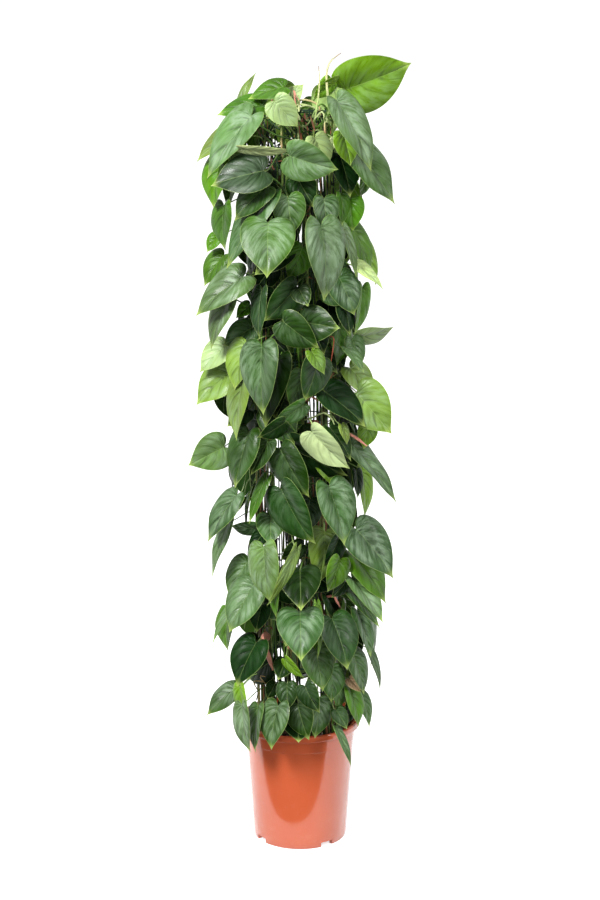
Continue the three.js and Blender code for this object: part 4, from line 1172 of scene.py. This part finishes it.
def pot_profile():
    """(radius, height) from the foot's inner edge round the outside, over the lip and down the inside."""
    floor_top = POT_FOOT_HEIGHT + POT_FLOOR_THICKNESS
    lip_bottom = POT_HEIGHT - POT_LIP_DEPTH
    flange = POT_HEIGHT - POT_LIP_WALL - 3
    rim, lip = POT_RIM_RADIUS, POT_LIP_WALL
    outside = [(POT_FOOT_RADIUS - 0.9, 0), (POT_FOOT_RADIUS - 0.2, 0.3), (POT_FOOT_RADIUS + 0.1, 1.1)]
    outside += [(pot_outer(POT_NOTCH_HEIGHT), POT_NOTCH_HEIGHT), (pot_outer(11.6), 11.6)]
    outside += [(pot_outer(z), z) for z in np.linspace(20, POT_COLLAR_HEIGHT - 3, 14)]
    step = pot_outer(POT_COLLAR_HEIGHT) + POT_COLLAR_STEP
    outside += [(pot_outer(211.8), 211.8), (pot_outer(212.1), 212.1)]
    outside += [(step - 0.4, 212.5), (step, 212.9), (step, 213.2)]
    outside += [(step + POT_TAPER * (z - POT_COLLAR_HEIGHT), z) for z in (216, 224, 232, 240, flange)]
    bend = [(rim - lip - 1.2, flange), (rim - lip, flange - 1.2), (rim - lip, lip_bottom + 0.6)]
    bend += [(rim - lip + 0.5, lip_bottom), (rim - 0.6, lip_bottom), (rim - 0.1, lip_bottom + 0.7)]
    bend += [(rim, lip_bottom + 3), (rim, POT_HEIGHT - 4)]
    for t in np.radians([20, 45, 70, 90]):
        bend.append((rim - 3.2 + 3.2 * math.cos(t), POT_HEIGHT - 3.2 + 3.2 * math.sin(t)))
    inner = pot_outer(POT_HEIGHT - 2) - POT_WALL
    bend += [(lerp(rim - 3.2, inner + 1, 0.5), POT_HEIGHT - 0.3)]
    bend += [(inner + 1, POT_HEIGHT - 1.6), (inner, POT_HEIGHT - 3.4)]
    inside = [(pot_outer(z) - POT_WALL, z) for z in (POT_HEIGHT - 8, 235, 226, 200, 100, floor_top + 2)]
    return outside + bend + inside + [(pot_outer(floor_top) - POT_WALL - 2, floor_top)]


def pot_azimuths():
    """Azimuths round the pot, the notches' edges among them, and whether each step is in a notch."""
    half = math.asin(POT_NOTCH_WIDTH / 2 / POT_FOOT_RADIUS)
    stops = []
    for degrees in POT_NOTCH_AZIMUTHS:
        stops += [math.radians(degrees) - half, math.radians(degrees) + half]
    stops.append(stops[0] + 2 * math.pi)
    azimuths, in_notch = [], []
    for n, (low, high) in enumerate(zip(stops, stops[1:])):
        steps = max(2, round((high - low) / (2 * math.pi) * POT_SEGMENTS))
        azimuths += [lerp(low, high, i / steps) for i in range(steps)]
        in_notch += [n % 2 == 0] * steps
    return azimuths, in_notch


def build_pot(material):
    """The pot as one closed mesh, its foot ring open at the notches and its floor at the drain holes."""
    profile = pot_profile()
    azimuths, in_notch = pot_azimuths()
    count = len(azimuths)
    points, faces = [], []

    def ring(radius, z):
        first = len(points)
        points.extend(outward_at(a) * radius + vec(0, 0, z) for a in azimuths)
        return first

    def band(lower, upper, notches=None):
        """A band of faces: all round, or only in or only outside the notches."""
        for i in range(count):
            j = (i + 1) % count
            if notches in (None, in_notch[i]):
                faces.append((lower + i, lower + j, upper + j, upper + i))

    notched = [i for i, (_, z) in enumerate(profile) if z == POT_NOTCH_HEIGHT][0]
    rings = [ring(radius, z) for radius, z in profile]
    foot = ring(POT_FOOT_INNER_RADIUS, 0)
    ceiling = ring(POT_FOOT_INNER_RADIUS, POT_NOTCH_HEIGHT)
    under = ring(POT_FOOT_INNER_RADIUS, POT_FOOT_HEIGHT)
    band(foot, rings[0], notches=False)
    for n, (lower, upper) in enumerate(zip(rings, rings[1:])):
        band(lower, upper, notches=False if n < notched else None)
    band(ceiling, foot, notches=False)
    band(under, ceiling)
    band(ceiling, rings[notched], notches=True)
    for i in range(count):
        if in_notch[i] != in_notch[i - 1]:
            wall = [foot + i] + [r + i for r in rings[: notched + 1]] + [ceiling + i]
            faces.append(tuple(wall if in_notch[i] else reversed(wall)))
    floor_top = POT_FOOT_HEIGHT + POT_FLOOR_THICKNESS
    for outer, z in ((under, POT_FOOT_HEIGHT), (rings[-1], floor_top)):
        middle = ring(40, z)
        centre = len(points)
        points.append(vec(0, 0, z))
        if z == floor_top:
            band(outer, middle)
            faces.extend((middle + i, middle + (i + 1) % count, centre) for i in range(count))
        else:
            band(middle, outer)
            faces.extend((middle + (i + 1) % count, middle + i, centre) for i in range(count))
    batch = Batch()
    batch.add_plain(points, faces, (1, 1, 1))
    piece = batch.build("pot_shell", [material])
    drill_drains(piece)
    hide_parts("pot")
    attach(piece, "root")


def drill_drains(piece):
    """Cuts the drain holes through the floor."""
    drills = Batch()
    for degrees in POT_NOTCH_AZIMUTHS:
        spot = outward_at(math.radians(degrees)) * DRAIN_HOLE_CIRCLE
        heights = (POT_FOOT_HEIGHT - 8, POT_FOOT_HEIGHT + POT_FLOOR_THICKNESS + 8)
        ends = [spot + vec(0, 0, z) for z in heights]
        add_tube(drills, ends, [DRAIN_HOLE_RADIUS] * 2, 32, 0, (1, 1, 1))
    cutter = drills.build("drills", [])
    modifier = piece.modifiers.new("drains", "BOOLEAN")
    modifier.object = cutter
    modifier.operation = "DIFFERENCE"
    modifier.solver = "EXACT"
    graph = bpy.context.evaluated_depsgraph_get()
    cut = bpy.data.meshes.new_from_object(piece.evaluated_get(graph))
    piece.modifiers.clear()
    piece.data = cut
    bpy.data.objects.remove(cutter)


def relief(x, y, seed):
    """Smooth noise from -1 to 1 at any (x, y)."""
    total = 0.0
    for i in range(4):
        draw = random.Random(seed * 31 + i)
        fx, fy, phase = draw.uniform(-1, 1), draw.uniform(-1, 1), draw.uniform(0, 6.28)
        total = total + np.sin(x * fx + y * fy + phase)
    return total / 4


SOIL_RINGS = 46
SOIL_SECTORS = 150


def build_soil(material):
    """Soil with an uneven top, and crumbs and bits of bark on it."""
    batch = Batch()
    floor = POT_FOOT_HEIGHT + POT_FLOOR_THICKNESS + GAP
    edge = pot_outer(SOIL_TOP) - POT_WALL - GAP
    angles = np.arange(SOIL_SECTORS) * (2 * math.pi / SOIL_SECTORS)
    points = [vec(0, 0, SOIL_TOP)]
    for n in range(1, SOIL_RINGS + 1):
        radius = edge * n / SOIL_RINGS
        x, y = radius * np.cos(angles), radius * np.sin(angles)
        z = SOIL_TOP - SOIL_CROWN * (n / SOIL_RINGS) ** 2
        z = z + 1.3 * relief(x / 9, y / 9, 1) + 1.4 * relief(x / 3.2, y / 3.2, 2) + 1.1 * relief(x, y, 3)
        points += list(np.stack([x, y, z], axis=1))
    top_edge = len(points) - SOIL_SECTORS
    low = pot_outer(floor) - POT_WALL - GAP
    points += [vec(low * math.cos(a), low * math.sin(a), floor) for a in angles]
    bottom_edge = len(points) - SOIL_SECTORS
    points.append(vec(0, 0, floor))
    faces = []
    for i in range(SOIL_SECTORS):
        j = (i + 1) % SOIL_SECTORS
        faces.append((0, 1 + i, 1 + j))
        for n in range(SOIL_RINGS - 1):
            a, b = 1 + n * SOIL_SECTORS, 1 + (n + 1) * SOIL_SECTORS
            faces.append((a + i, b + i, b + j, a + j))
        faces.append((top_edge + i, bottom_edge + i, bottom_edge + j, top_edge + j))
        faces.append((bottom_edge + j, bottom_edge + i, len(points) - 1))
    batch.add_plain(points, faces, srgb(58, 42, 30))
    add_crumbs(batch, edge)
    piece = batch.build("soil_bed", [material])
    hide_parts("soil")
    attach(piece, "root")


CRUMBS = 1500
OCTAHEDRON = np.array([(1, 0, 0), (0, 1, 0), (-1, 0, 0), (0, -1, 0), (0, 0, 1), (0, 0, -1)], float)
OCTAHEDRON_FACES = [(0, 1, 4), (1, 2, 4), (2, 3, 4), (3, 0, 4), (1, 0, 5), (2, 1, 5), (3, 2, 5), (0, 3, 5)]


def add_crumbs(batch, edge):
    """Crumbs of peat, bark and a few pale grains."""
    draw = random.Random(7)
    peat, bark, pale = linear((48, 34, 25), (92, 62, 40), (178, 168, 150))
    for _ in range(CRUMBS):
        radius, azimuth = (edge - 4) * math.sqrt(draw.random()), draw.uniform(0, 2 * math.pi)
        kind = draw.choices((peat, bark, pale), (70, 26, 4))[0]
        size = draw.uniform(1.2, 3.4) if kind is not bark else draw.uniform(2, 5)
        z = SOIL_TOP - SOIL_CROWN * (radius / edge) ** 2 + draw.uniform(0, 0.8)
        stretch = np.array([draw.uniform(0.7, 1.5), draw.uniform(0.7, 1.2), draw.uniform(0.45, 0.8)])
        turn = draw.uniform(0, 6.28)
        corners = OCTAHEDRON * stretch * size * np.array([[draw.uniform(0.8, 1.2)] for _ in range(6)])
        c, s = math.cos(turn), math.sin(turn)
        spin = np.array([(c, s, 0), (-s, c, 0), (0, 0, 1)])
        place = vec(radius * math.cos(azimuth), radius * math.sin(azimuth), z)
        batch.add_plain(corners @ spin + place, OCTAHEDRON_FACES, kind)


# Climbing column
RING_SEGMENTS = 78


def build_cage(material):
    """Coated wires, welded at their crossings."""
    batch = Batch()
    lowest = CAGE_TOP - (CAGE_RINGS - 1) * CAGE_RING_SPACING
    colour = srgb(*WIRE_COAT)
    for i in range(CAGE_WIRES):
        azimuth = 2 * math.pi * i / CAGE_WIRES
        heights = [CAGE_TOP + 4] + [CAGE_TOP - j * CAGE_RING_SPACING for j in range(CAGE_RINGS)]
        path = [at_column(z, azimuth, column_radius(z) + 0.5) for z in heights]
        path.append(path[-1] * (1, 1, 0) + vec(0, 0, lowest - 20))
        path.append(path[-1] * (1, 1, 0) + vec(0, 0, CAGE_WIRE_END))
        add_tube(batch, path[::-1], [WIRE_RADIUS] * len(path), 8, 0, colour)
    angles = np.arange(RING_SEGMENTS) * (2 * math.pi / RING_SEGMENTS)
    for j in range(CAGE_RINGS):
        z = CAGE_TOP - j * CAGE_RING_SPACING
        path = [at_column(z, a, column_radius(z) - 0.9) for a in angles]
        add_closed_tube(batch, path, WIRE_RADIUS, 8, colour)
    piece = batch.build("cage_wires", [material])
    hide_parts("climbing_cage")
    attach(piece, "root")


def add_closed_tube(batch, path, radius, sides, colour):
    """A ring-shaped tube about a vertical axis."""
    path = np.asarray(path)
    centre = path.mean(axis=0)
    count = len(path)
    points = []
    for spot in path:
        out = unit(spot - centre)
        for k in range(sides):
            angle = 2 * math.pi * k / sides
            points.append(spot + radius * (math.cos(angle) * out + math.sin(angle) * vec(0, 0, 1)))
    faces = []
    for i in range(count):
        for k in range(sides):
            a, b = i * sides + k, i * sides + (k + 1) % sides
            c, d = ((i + 1) % count) * sides + (k + 1) % sides, ((i + 1) % count) * sides + k
            faces.append((a, d, c, b))
    batch.add_plain(points, faces, colour)


# Materials
class Nodes:
    """The nodes of a material, or of a world, with short calls for the ones that repeat."""

    def __init__(self, name, world=False):
        self.material = (bpy.data.worlds if world else bpy.data.materials).new(name)
        self.material.use_nodes = True
        self.tree = self.material.node_tree
        self.shader = self.tree.nodes["Background" if world else "Principled BSDF"]

    def put(self, socket, value):
        if isinstance(value, bpy.types.NodeSocket):
            self.tree.links.new(value, socket)
        elif isinstance(value, (tuple, list)) and len(value) == 3 and socket.type == "RGBA":
            socket.default_value = (*value, 1)
        else:
            socket.default_value = value

    def node(self, kind, inputs, **settings):
        """A new node's outputs; its inputs are given by name or place."""
        node = self.tree.nodes.new("ShaderNode" + kind)
        for name, value in settings.items():
            setattr(node, name, value)
        for key, value in inputs.items():
            self.put(node.inputs[key], value)
        return node.outputs

    def math(self, operation, *values, clamp=False):
        return self.node("Math", dict(enumerate(values)), operation=operation, use_clamp=clamp)[0]

    def times(self, a, b, clamp=False):
        return self.math("MULTIPLY", a, b, clamp=clamp)

    def times_plus(self, a, b, c):
        """a times b, plus c."""
        return self.math("MULTIPLY_ADD", a, b, c)

    def mix(self, share, a, b, blend="MIX"):
        return self.node("Mix", {0: share, 6: a, 7: b}, data_type="RGBA", blend_type=blend)[2]

    def shaded(self, colour, share):
        """The colour times the share."""
        return self.mix(1.0, colour, self.combine(share, share, share), "MULTIPLY")

    def ramp(self, value, low, high, to_low=0.0, to_high=1.0):
        """A smooth step from to_low at low to to_high at high."""
        values = enumerate((value, low, high, to_low, to_high))
        return self.node("MapRange", dict(values), interpolation_type="SMOOTHSTEP")[0]

    def attribute(self, name, output="Color"):
        return self.node("Attribute", {}, attribute_name=name)[output]

    def separate(self, vector):
        return self.node("SeparateXYZ", {0: vector})

    def combine(self, *values):
        return self.node("CombineXYZ", dict(enumerate(values)))[0]

    def position(self, output="Object"):
        return self.node("TexCoord", {})[output]

    def noise(self, scale, detail=2.0, vector=None, roughness=0.5):
        spot = self.position() if vector is None else vector
        inputs = {"Vector": spot, "Scale": scale, "Detail": detail, "Roughness": roughness}
        return self.node("TexNoise", inputs)["Fac"]

    def cells(self, scale, feature="F1"):
        inputs = {"Vector": self.position(), "Scale": scale}
        return self.node("TexVoronoi", inputs, feature=feature)["Distance"]

    def bump(self, height, distance, strength=1.0):
        inputs = {"Strength": strength, "Distance": distance, "Height": height}
        self.put(self.shader.inputs["Normal"], self.node("Bump", inputs)[0])

    def set(self, **values):
        for name, value in values.items():
            self.put(self.shader.inputs[name.replace("_", " ")], value)


# Colours of the materials, as seen
VEIN, VEIN_UNDER = (168, 196, 120), (200, 220, 160)
EDGE, EDGE_UNDER = (190, 214, 130), (200, 220, 150)
PLASTIC, PLASTIC_DUST, PLASTIC_SPECK = (205, 96, 59), (222, 172, 146), (236, 196, 176)
WIRE_COAT, WIRE_WEAR = (30, 62, 44), (74, 104, 78)
WHITE, BLACK = (1.0, 1.0, 1.0), (0.0, 0.0, 0.0)

# How strongly leaves in the light and in the shade reflect
LEAF_GLOSS = 0.25
SHADED_GLOSS = 0.09
UNDER_GLOSS = 0.2


def vein_masks(n, guide, lateral, midrib):
    """Shares of the side veins, the midrib and the thin margin, and the distance to the next side vein."""
    phase, rib, edge = guide
    near = n.math("PINGPONG", phase, 0.5)
    veins = n.ramp(near, 0.0, lateral, 1.0, 0.0)
    veins = n.times(veins, n.ramp(edge, 0.5, 7.0))
    return veins, n.ramp(rib, 0.25, midrib, 1.0, 0.0), n.ramp(edge, 0.35, 1.0, 1.0, 0.0), near


def leaf_upper_material(name, gloss):
    """Waxy green with cloudy darker and lighter patches, streaks of painted grey sheen (a painted
    reflection), sunken veins between raised pleats with painted shade along them near the midrib, and a pale
    margin.
    """
    n = Nodes(name)
    tint = n.attribute("tint")
    sheen = n.attribute("tint", "Alpha")
    guide = n.separate(n.attribute("guide", "Vector"))
    veins, midrib, margin, near = vein_masks(n, guide, 0.1, 1.3)
    phase, rib, edge = guide
    x, y, z = n.separate(n.position())
    across = n.times_plus(phase, 2.3, n.times(x, 22.0))
    outwards = n.times_plus(rib, 0.05, n.times(y, 22.0))
    streaks = n.noise(1.0, 4, n.combine(across, outwards, n.times(z, 22.0)), 0.62)
    clouds = n.noise(16, 2)
    mottle = n.times(n.ramp(clouds, 0.32, 0.68, 0.72, 1.2), n.ramp(streaks, 0.3, 0.7, 0.82, 1.14))
    colour = n.shaded(tint, mottle)
    # Painted sheen, a painted reflection: grey-green in streaks and patches, less towards the margin
    painted_sheen_cover = n.times(n.ramp(streaks, 0.38, 0.62, 0.2, 1.0), n.ramp(n.noise(19, 2), 0.36, 0.6, 0.36, 1.1))
    painted_sheen_cover = n.times(painted_sheen_cover, n.ramp(edge, 0.0, 12.0, 0.16, 1.0))
    painted_sheen_cover = n.times(painted_sheen_cover, sheen, clamp=True)
    colour = n.mix(painted_sheen_cover, colour, n.mix(0.22, srgb(*PAINTED_SHEEN), tint))
    # Painted shade: darker along the side veins near the midrib, where the furrows lie
    furrow_shade = n.times(n.ramp(near, 0.0, 0.17, 1.0, 0.0), n.ramp(rib, 3.0, 36.0, 1.0, 0.16))
    furrow_shade = n.times(furrow_shade, n.ramp(n.noise(34, 2), 0.4, 0.58, 0.15, 1.0))
    shade = n.times_plus(furrow_shade, -0.5, 1.04)
    colour = n.shaded(colour, shade)
    pale = n.mix(0.55, tint, srgb(*VEIN))
    colour = n.mix(n.times(midrib, 0.34), colour, pale)
    colour = n.mix(n.times(margin, 0.5), colour, n.mix(0.6, tint, srgb(*EDGE)))
    n.set(Base_Color=colour, Roughness=n.ramp(streaks, 0.3, 0.7, 0.26, 0.42))
    pits = n.cells(420, "DISTANCE_TO_EDGE")
    height = n.times_plus(veins, -0.5, n.times(n.ramp(near, 0.0, 0.5), 0.7))
    height = n.times(height, n.ramp(rib, 4.0, 34.0, 1.1, 0.3))
    height = n.times_plus(streaks, 0.9, height)
    height = n.times_plus(midrib, -0.8, height)
    height = n.times_plus(n.ramp(pits, 0.0, 0.2), 0.05, height)
    n.bump(height, 0.0011, 0.65)
    n.set(Specular_IOR_Level=gloss)
    return n.material


def leaf_under_material():
    n = Nodes("leaf_under")
    tint = n.attribute("tint")
    guide = n.separate(n.attribute("guide", "Vector"))
    veins, midrib, margin, near = vein_masks(n, guide, 0.09, 1.6)
    mottle = n.ramp(n.noise(30, 3), 0.3, 0.7, 0.9, 1.1)
    colour = n.shaded(tint, mottle)
    pale = n.mix(0.6, tint, srgb(*VEIN_UNDER))
    colour = n.mix(n.times(veins, 0.5), colour, pale)
    colour = n.mix(n.times(midrib, 0.7), colour, pale)
    colour = n.mix(n.times(margin, 0.4), colour, srgb(*EDGE_UNDER))
    rough = n.ramp(n.noise(80, 2), 0.3, 0.7, 0.48, 0.6)
    n.set(Base_Color=colour, Roughness=rough, Specular_IOR_Level=UNDER_GLOSS)
    height = n.times_plus(veins, 0.8, n.times(near, -0.4))
    n.bump(n.times_plus(midrib, 0.6, height), 0.0008, 0.8)
    return n.material


def stalk_material():
    n = Nodes("stalk")
    along, around, _ = n.separate(n.attribute("guide", "Vector"))
    streaks = n.noise(1.0, 3, n.combine(n.times(along, 0.04), n.times(around, 9.0), 0.0))
    shade = n.ramp(streaks, 0.3, 0.7, 0.82, 1.14)
    patches = n.ramp(n.noise(120, 3), 0.35, 0.75, 1.0, 0.8)
    colour = n.shaded(n.attribute("tint"), shade)
    colour = n.shaded(colour, patches)
    n.set(Base_Color=colour, Roughness=n.ramp(streaks, 0.3, 0.7, 0.36, 0.5), Specular_IOR_Level=0.25)
    n.bump(streaks, 0.0004, 0.6)
    return n.material


def sheath_material():
    n = Nodes("sheath")
    along, around, _ = n.separate(n.attribute("guide", "Vector"))
    fibres = n.noise(1.0, 3, n.combine(n.times(along, 0.08), n.times(around, 24.0), 0.0))
    shade = n.ramp(fibres, 0.3, 0.7, 0.7, 1.2)
    colour = n.shaded(n.attribute("tint"), shade)
    n.set(Base_Color=colour, Roughness=n.ramp(fibres, 0.3, 0.7, 0.5, 0.75))
    n.bump(fibres, 0.0005, 0.8)
    return n.material


def pot_material():
    """Glossy terracotta-coloured plastic with faint flow marks, dust and fine scratches."""
    n = Nodes("pot_plastic")
    _, _, z = n.separate(n.position())
    clouds = n.ramp(n.noise(7, 4), 0.3, 0.7, 0.95, 1.04)
    colour = n.shaded(srgb(*PLASTIC), clouds)
    dust = n.times(n.ramp(n.noise(38, 6, roughness=0.7), 0.5, 0.8), n.ramp(z, 0.0, 0.11, 0.5, 0.12))
    colour = n.mix(n.times(dust, 0.3), colour, srgb(*PLASTIC_DUST))
    specks = n.ramp(n.cells(260), 0.0, 0.12, 1.0, 0.0)
    chosen = n.math("GREATER_THAN", n.noise(90, 0), 0.64)
    colour = n.mix(n.times(n.times(specks, chosen), 0.25), colour, srgb(*PLASTIC_SPECK))
    rough = n.times_plus(dust, 0.1, n.ramp(n.noise(24, 5, roughness=0.65), 0.3, 0.7, 0.14, 0.2))
    n.set(Base_Color=colour, Roughness=rough)
    rings = n.noise(1.0, 2, n.combine(0.0, 0.0, n.times(z, 420.0)))
    waves = n.noise(14, 2)
    grain = n.noise(1300, 2)
    relief = n.times_plus(rings, 0.03, n.times(waves, 0.25))
    n.bump(n.times_plus(grain, 0.05, relief), 0.0012, 0.35)
    n.set(Specular_IOR_Level=0.4, Coat_Weight=0.82, Coat_Roughness=0.05, Coat_IOR=1.4)
    return n.material


def soil_material():
    n = Nodes("soil")
    grain = n.ramp(n.noise(520, 5, roughness=0.7), 0.3, 0.7, 0.55, 1.35)
    damp = n.ramp(n.noise(22, 3), 0.35, 0.65, 0.8, 1.15)
    colour = n.shaded(n.attribute("tint"), grain)
    colour = n.shaded(colour, damp)
    n.set(Base_Color=colour, Roughness=0.95)
    n.bump(n.noise(700, 6, roughness=0.75), 0.0016, 1.0)
    return n.material


def cage_material():
    """Dark green plastic coating on wire, a little dusty."""
    n = Nodes("coated_wire")
    wear = n.ramp(n.noise(70, 4), 0.45, 0.75)
    colour = n.mix(wear, n.attribute("tint"), srgb(*WIRE_WEAR))
    n.set(Base_Color=colour, Roughness=n.ramp(wear, 0.0, 1.0, 0.38, 0.6), Specular_IOR_Level=0.3)
    n.bump(n.noise(600, 3), 0.0003, 0.5)
    return n.material


# Studio
FLOOR_HALF = 300.0
FLOOR_GLOW = 0.62
BACKDROP_RADIUS = 280.0
BACKDROP_HEIGHT = 220.0
FRONT_LIGHT = 0.2
BACK_LIGHT = 0.74
TOP_LIGHT = 0.8
LOW_LIGHT = 0.1  # from below the horizon, where the floor sends back some of it


def stage_piece(name, points, faces, material):
    mesh = bpy.data.meshes.new(name)
    mesh.from_pydata(points, [], faces)
    mesh.materials.append(material)
    piece = add_object(name, mesh)
    return piece


def build_floor():
    """A white floor, seen by the camera and in the gloss; it throws no soft light on the plant."""
    half = FLOOR_HALF
    n = Nodes("floor")
    n.set(Base_Color=(0.85, 0.85, 0.85), Roughness=n.ramp(n.noise(3, 3), 0.3, 0.7, 0.55, 0.65))
    n.set(Emission_Color=WHITE, Emission_Strength=FLOOR_GLOW)
    corners = [(-half, -half, 0), (half, -half, 0), (half, half, 0), (-half, half, 0)]
    floor = stage_piece("floor", corners, [(0, 1, 2, 3)], n.material)
    floor.visible_diffuse = False


def build_backdrop():
    """A white wall all round, far away, which only the camera sees."""
    count = 48
    angles = [2 * math.pi * i / count for i in range(count)]
    ring = [(BACKDROP_RADIUS * math.cos(a), BACKDROP_RADIUS * math.sin(a)) for a in angles]
    points = [(x, y, z) for z in (-1.0, BACKDROP_HEIGHT) for x, y in ring]
    faces = [(i, (i + 1) % count, count + (i + 1) % count, count + i) for i in range(count)]
    n = Nodes("backdrop")
    n.set(Base_Color=BLACK, Emission_Color=WHITE, Emission_Strength=1.0)
    wall = stage_piece("backdrop", points, faces, n.material)
    wall.visible_diffuse = wall.visible_glossy = wall.visible_transmission = wall.visible_shadow = False


CARD_NEAR = -0.197  # where the card's edge passes the pot
CARD_TILT = math.radians(-15.2)
CARD_HALF = 3.0
CARD_FAR = -4.2
CARD_HEIGHT = 0.002


def build_card():
    """A dark card on the floor before the pot, seen only in the gloss, for the dark zone on the pot."""
    ends = (-CARD_HALF, CARD_HALF)
    edge = [(x, CARD_NEAR + x * math.tan(CARD_TILT), CARD_HEIGHT) for x in ends]
    far = [(x, CARD_FAR, CARD_HEIGHT) for x in ends]
    faces = [(0, 2, 3, 1)]
    n = Nodes("dark_card")
    n.set(Base_Color=(0.02, 0.02, 0.02), Roughness=0.9, Specular_IOR_Level=0.0)
    card = stage_piece("dark_card", edge + far, faces, n.material)
    card.visible_camera = card.visible_diffuse = card.visible_transmission = card.visible_shadow = False


def build_room_light():
    """White light from above and behind, weaker from the front where the camera stands and from below."""
    n = Nodes("room", world=True)
    bpy.context.scene.world = n.material
    _, y, z = n.separate(n.position("Generated"))
    around = n.ramp(y, -0.8, 0.1, FRONT_LIGHT, BACK_LIGHT)
    upper = n.ramp(z, 0.2, 0.75, around, TOP_LIGHT)
    n.set(Strength=n.ramp(z, -0.2, 0.0, LOW_LIGHT, upper), Color=WHITE)


# Soft lights: place, aim and size in metres, energy in watts, and whether the gloss shows them
LIGHTS = {
    "key": ((-1.9, -2.5, 3.3), (0, 0, 0.9), (0.9, 1.3), 218, True),
    "fill": ((2.6, -1.9, 2.2), (0, 0, 0.8), (1.0, 1.6), 56, True),
    "low": ((0.0, -1.9, 0.45), (0, 0, 0.12), (1.4, 0.4), 11, False),
}
LENS = 72
SENSOR_WIDTH = 36


def add_soft_light(name, place, aim, size, energy, in_gloss):
    light = bpy.data.lights.new(name, "AREA")
    light.shape = "RECTANGLE"
    light.size, light.size_y = size
    light.energy = energy
    lamp = add_object(name, light)
    lamp.location = place
    lamp.rotation_euler = (Vector(aim) - Vector(place)).to_track_quat("-Z", "Y").to_euler()
    lamp.visible_glossy = in_gloss


def build_camera():
    data = bpy.data.cameras.new("camera")
    data.lens = LENS
    data.sensor_width = SENSOR_WIDTH
    camera = add_object("camera", data)
    camera.location = EYE * MM
    camera.rotation_euler = (math.pi / 2 - VIEW_PITCH, 0, 0)
    bpy.context.scene.camera = camera


leaves = leaves_of_the_solids()
leaves += loose_leaves()
leaves += leaves_near_the_column(leaves)
build_camera()
build_vines([
    leaf_upper_material("leaf_upper", LEAF_GLOSS), leaf_under_material(), stalk_material(), sheath_material(),
    leaf_upper_material("leaf_shaded", SHADED_GLOSS),
])
build_pot(pot_material())
build_soil(soil_material())
build_cage(cage_material())
build_floor()
build_backdrop()
build_card()
build_room_light()
for light_name, settings in LIGHTS.items():
    add_soft_light(light_name, *settings)
bpy.context.scene.view_settings.view_transform = "Standard"
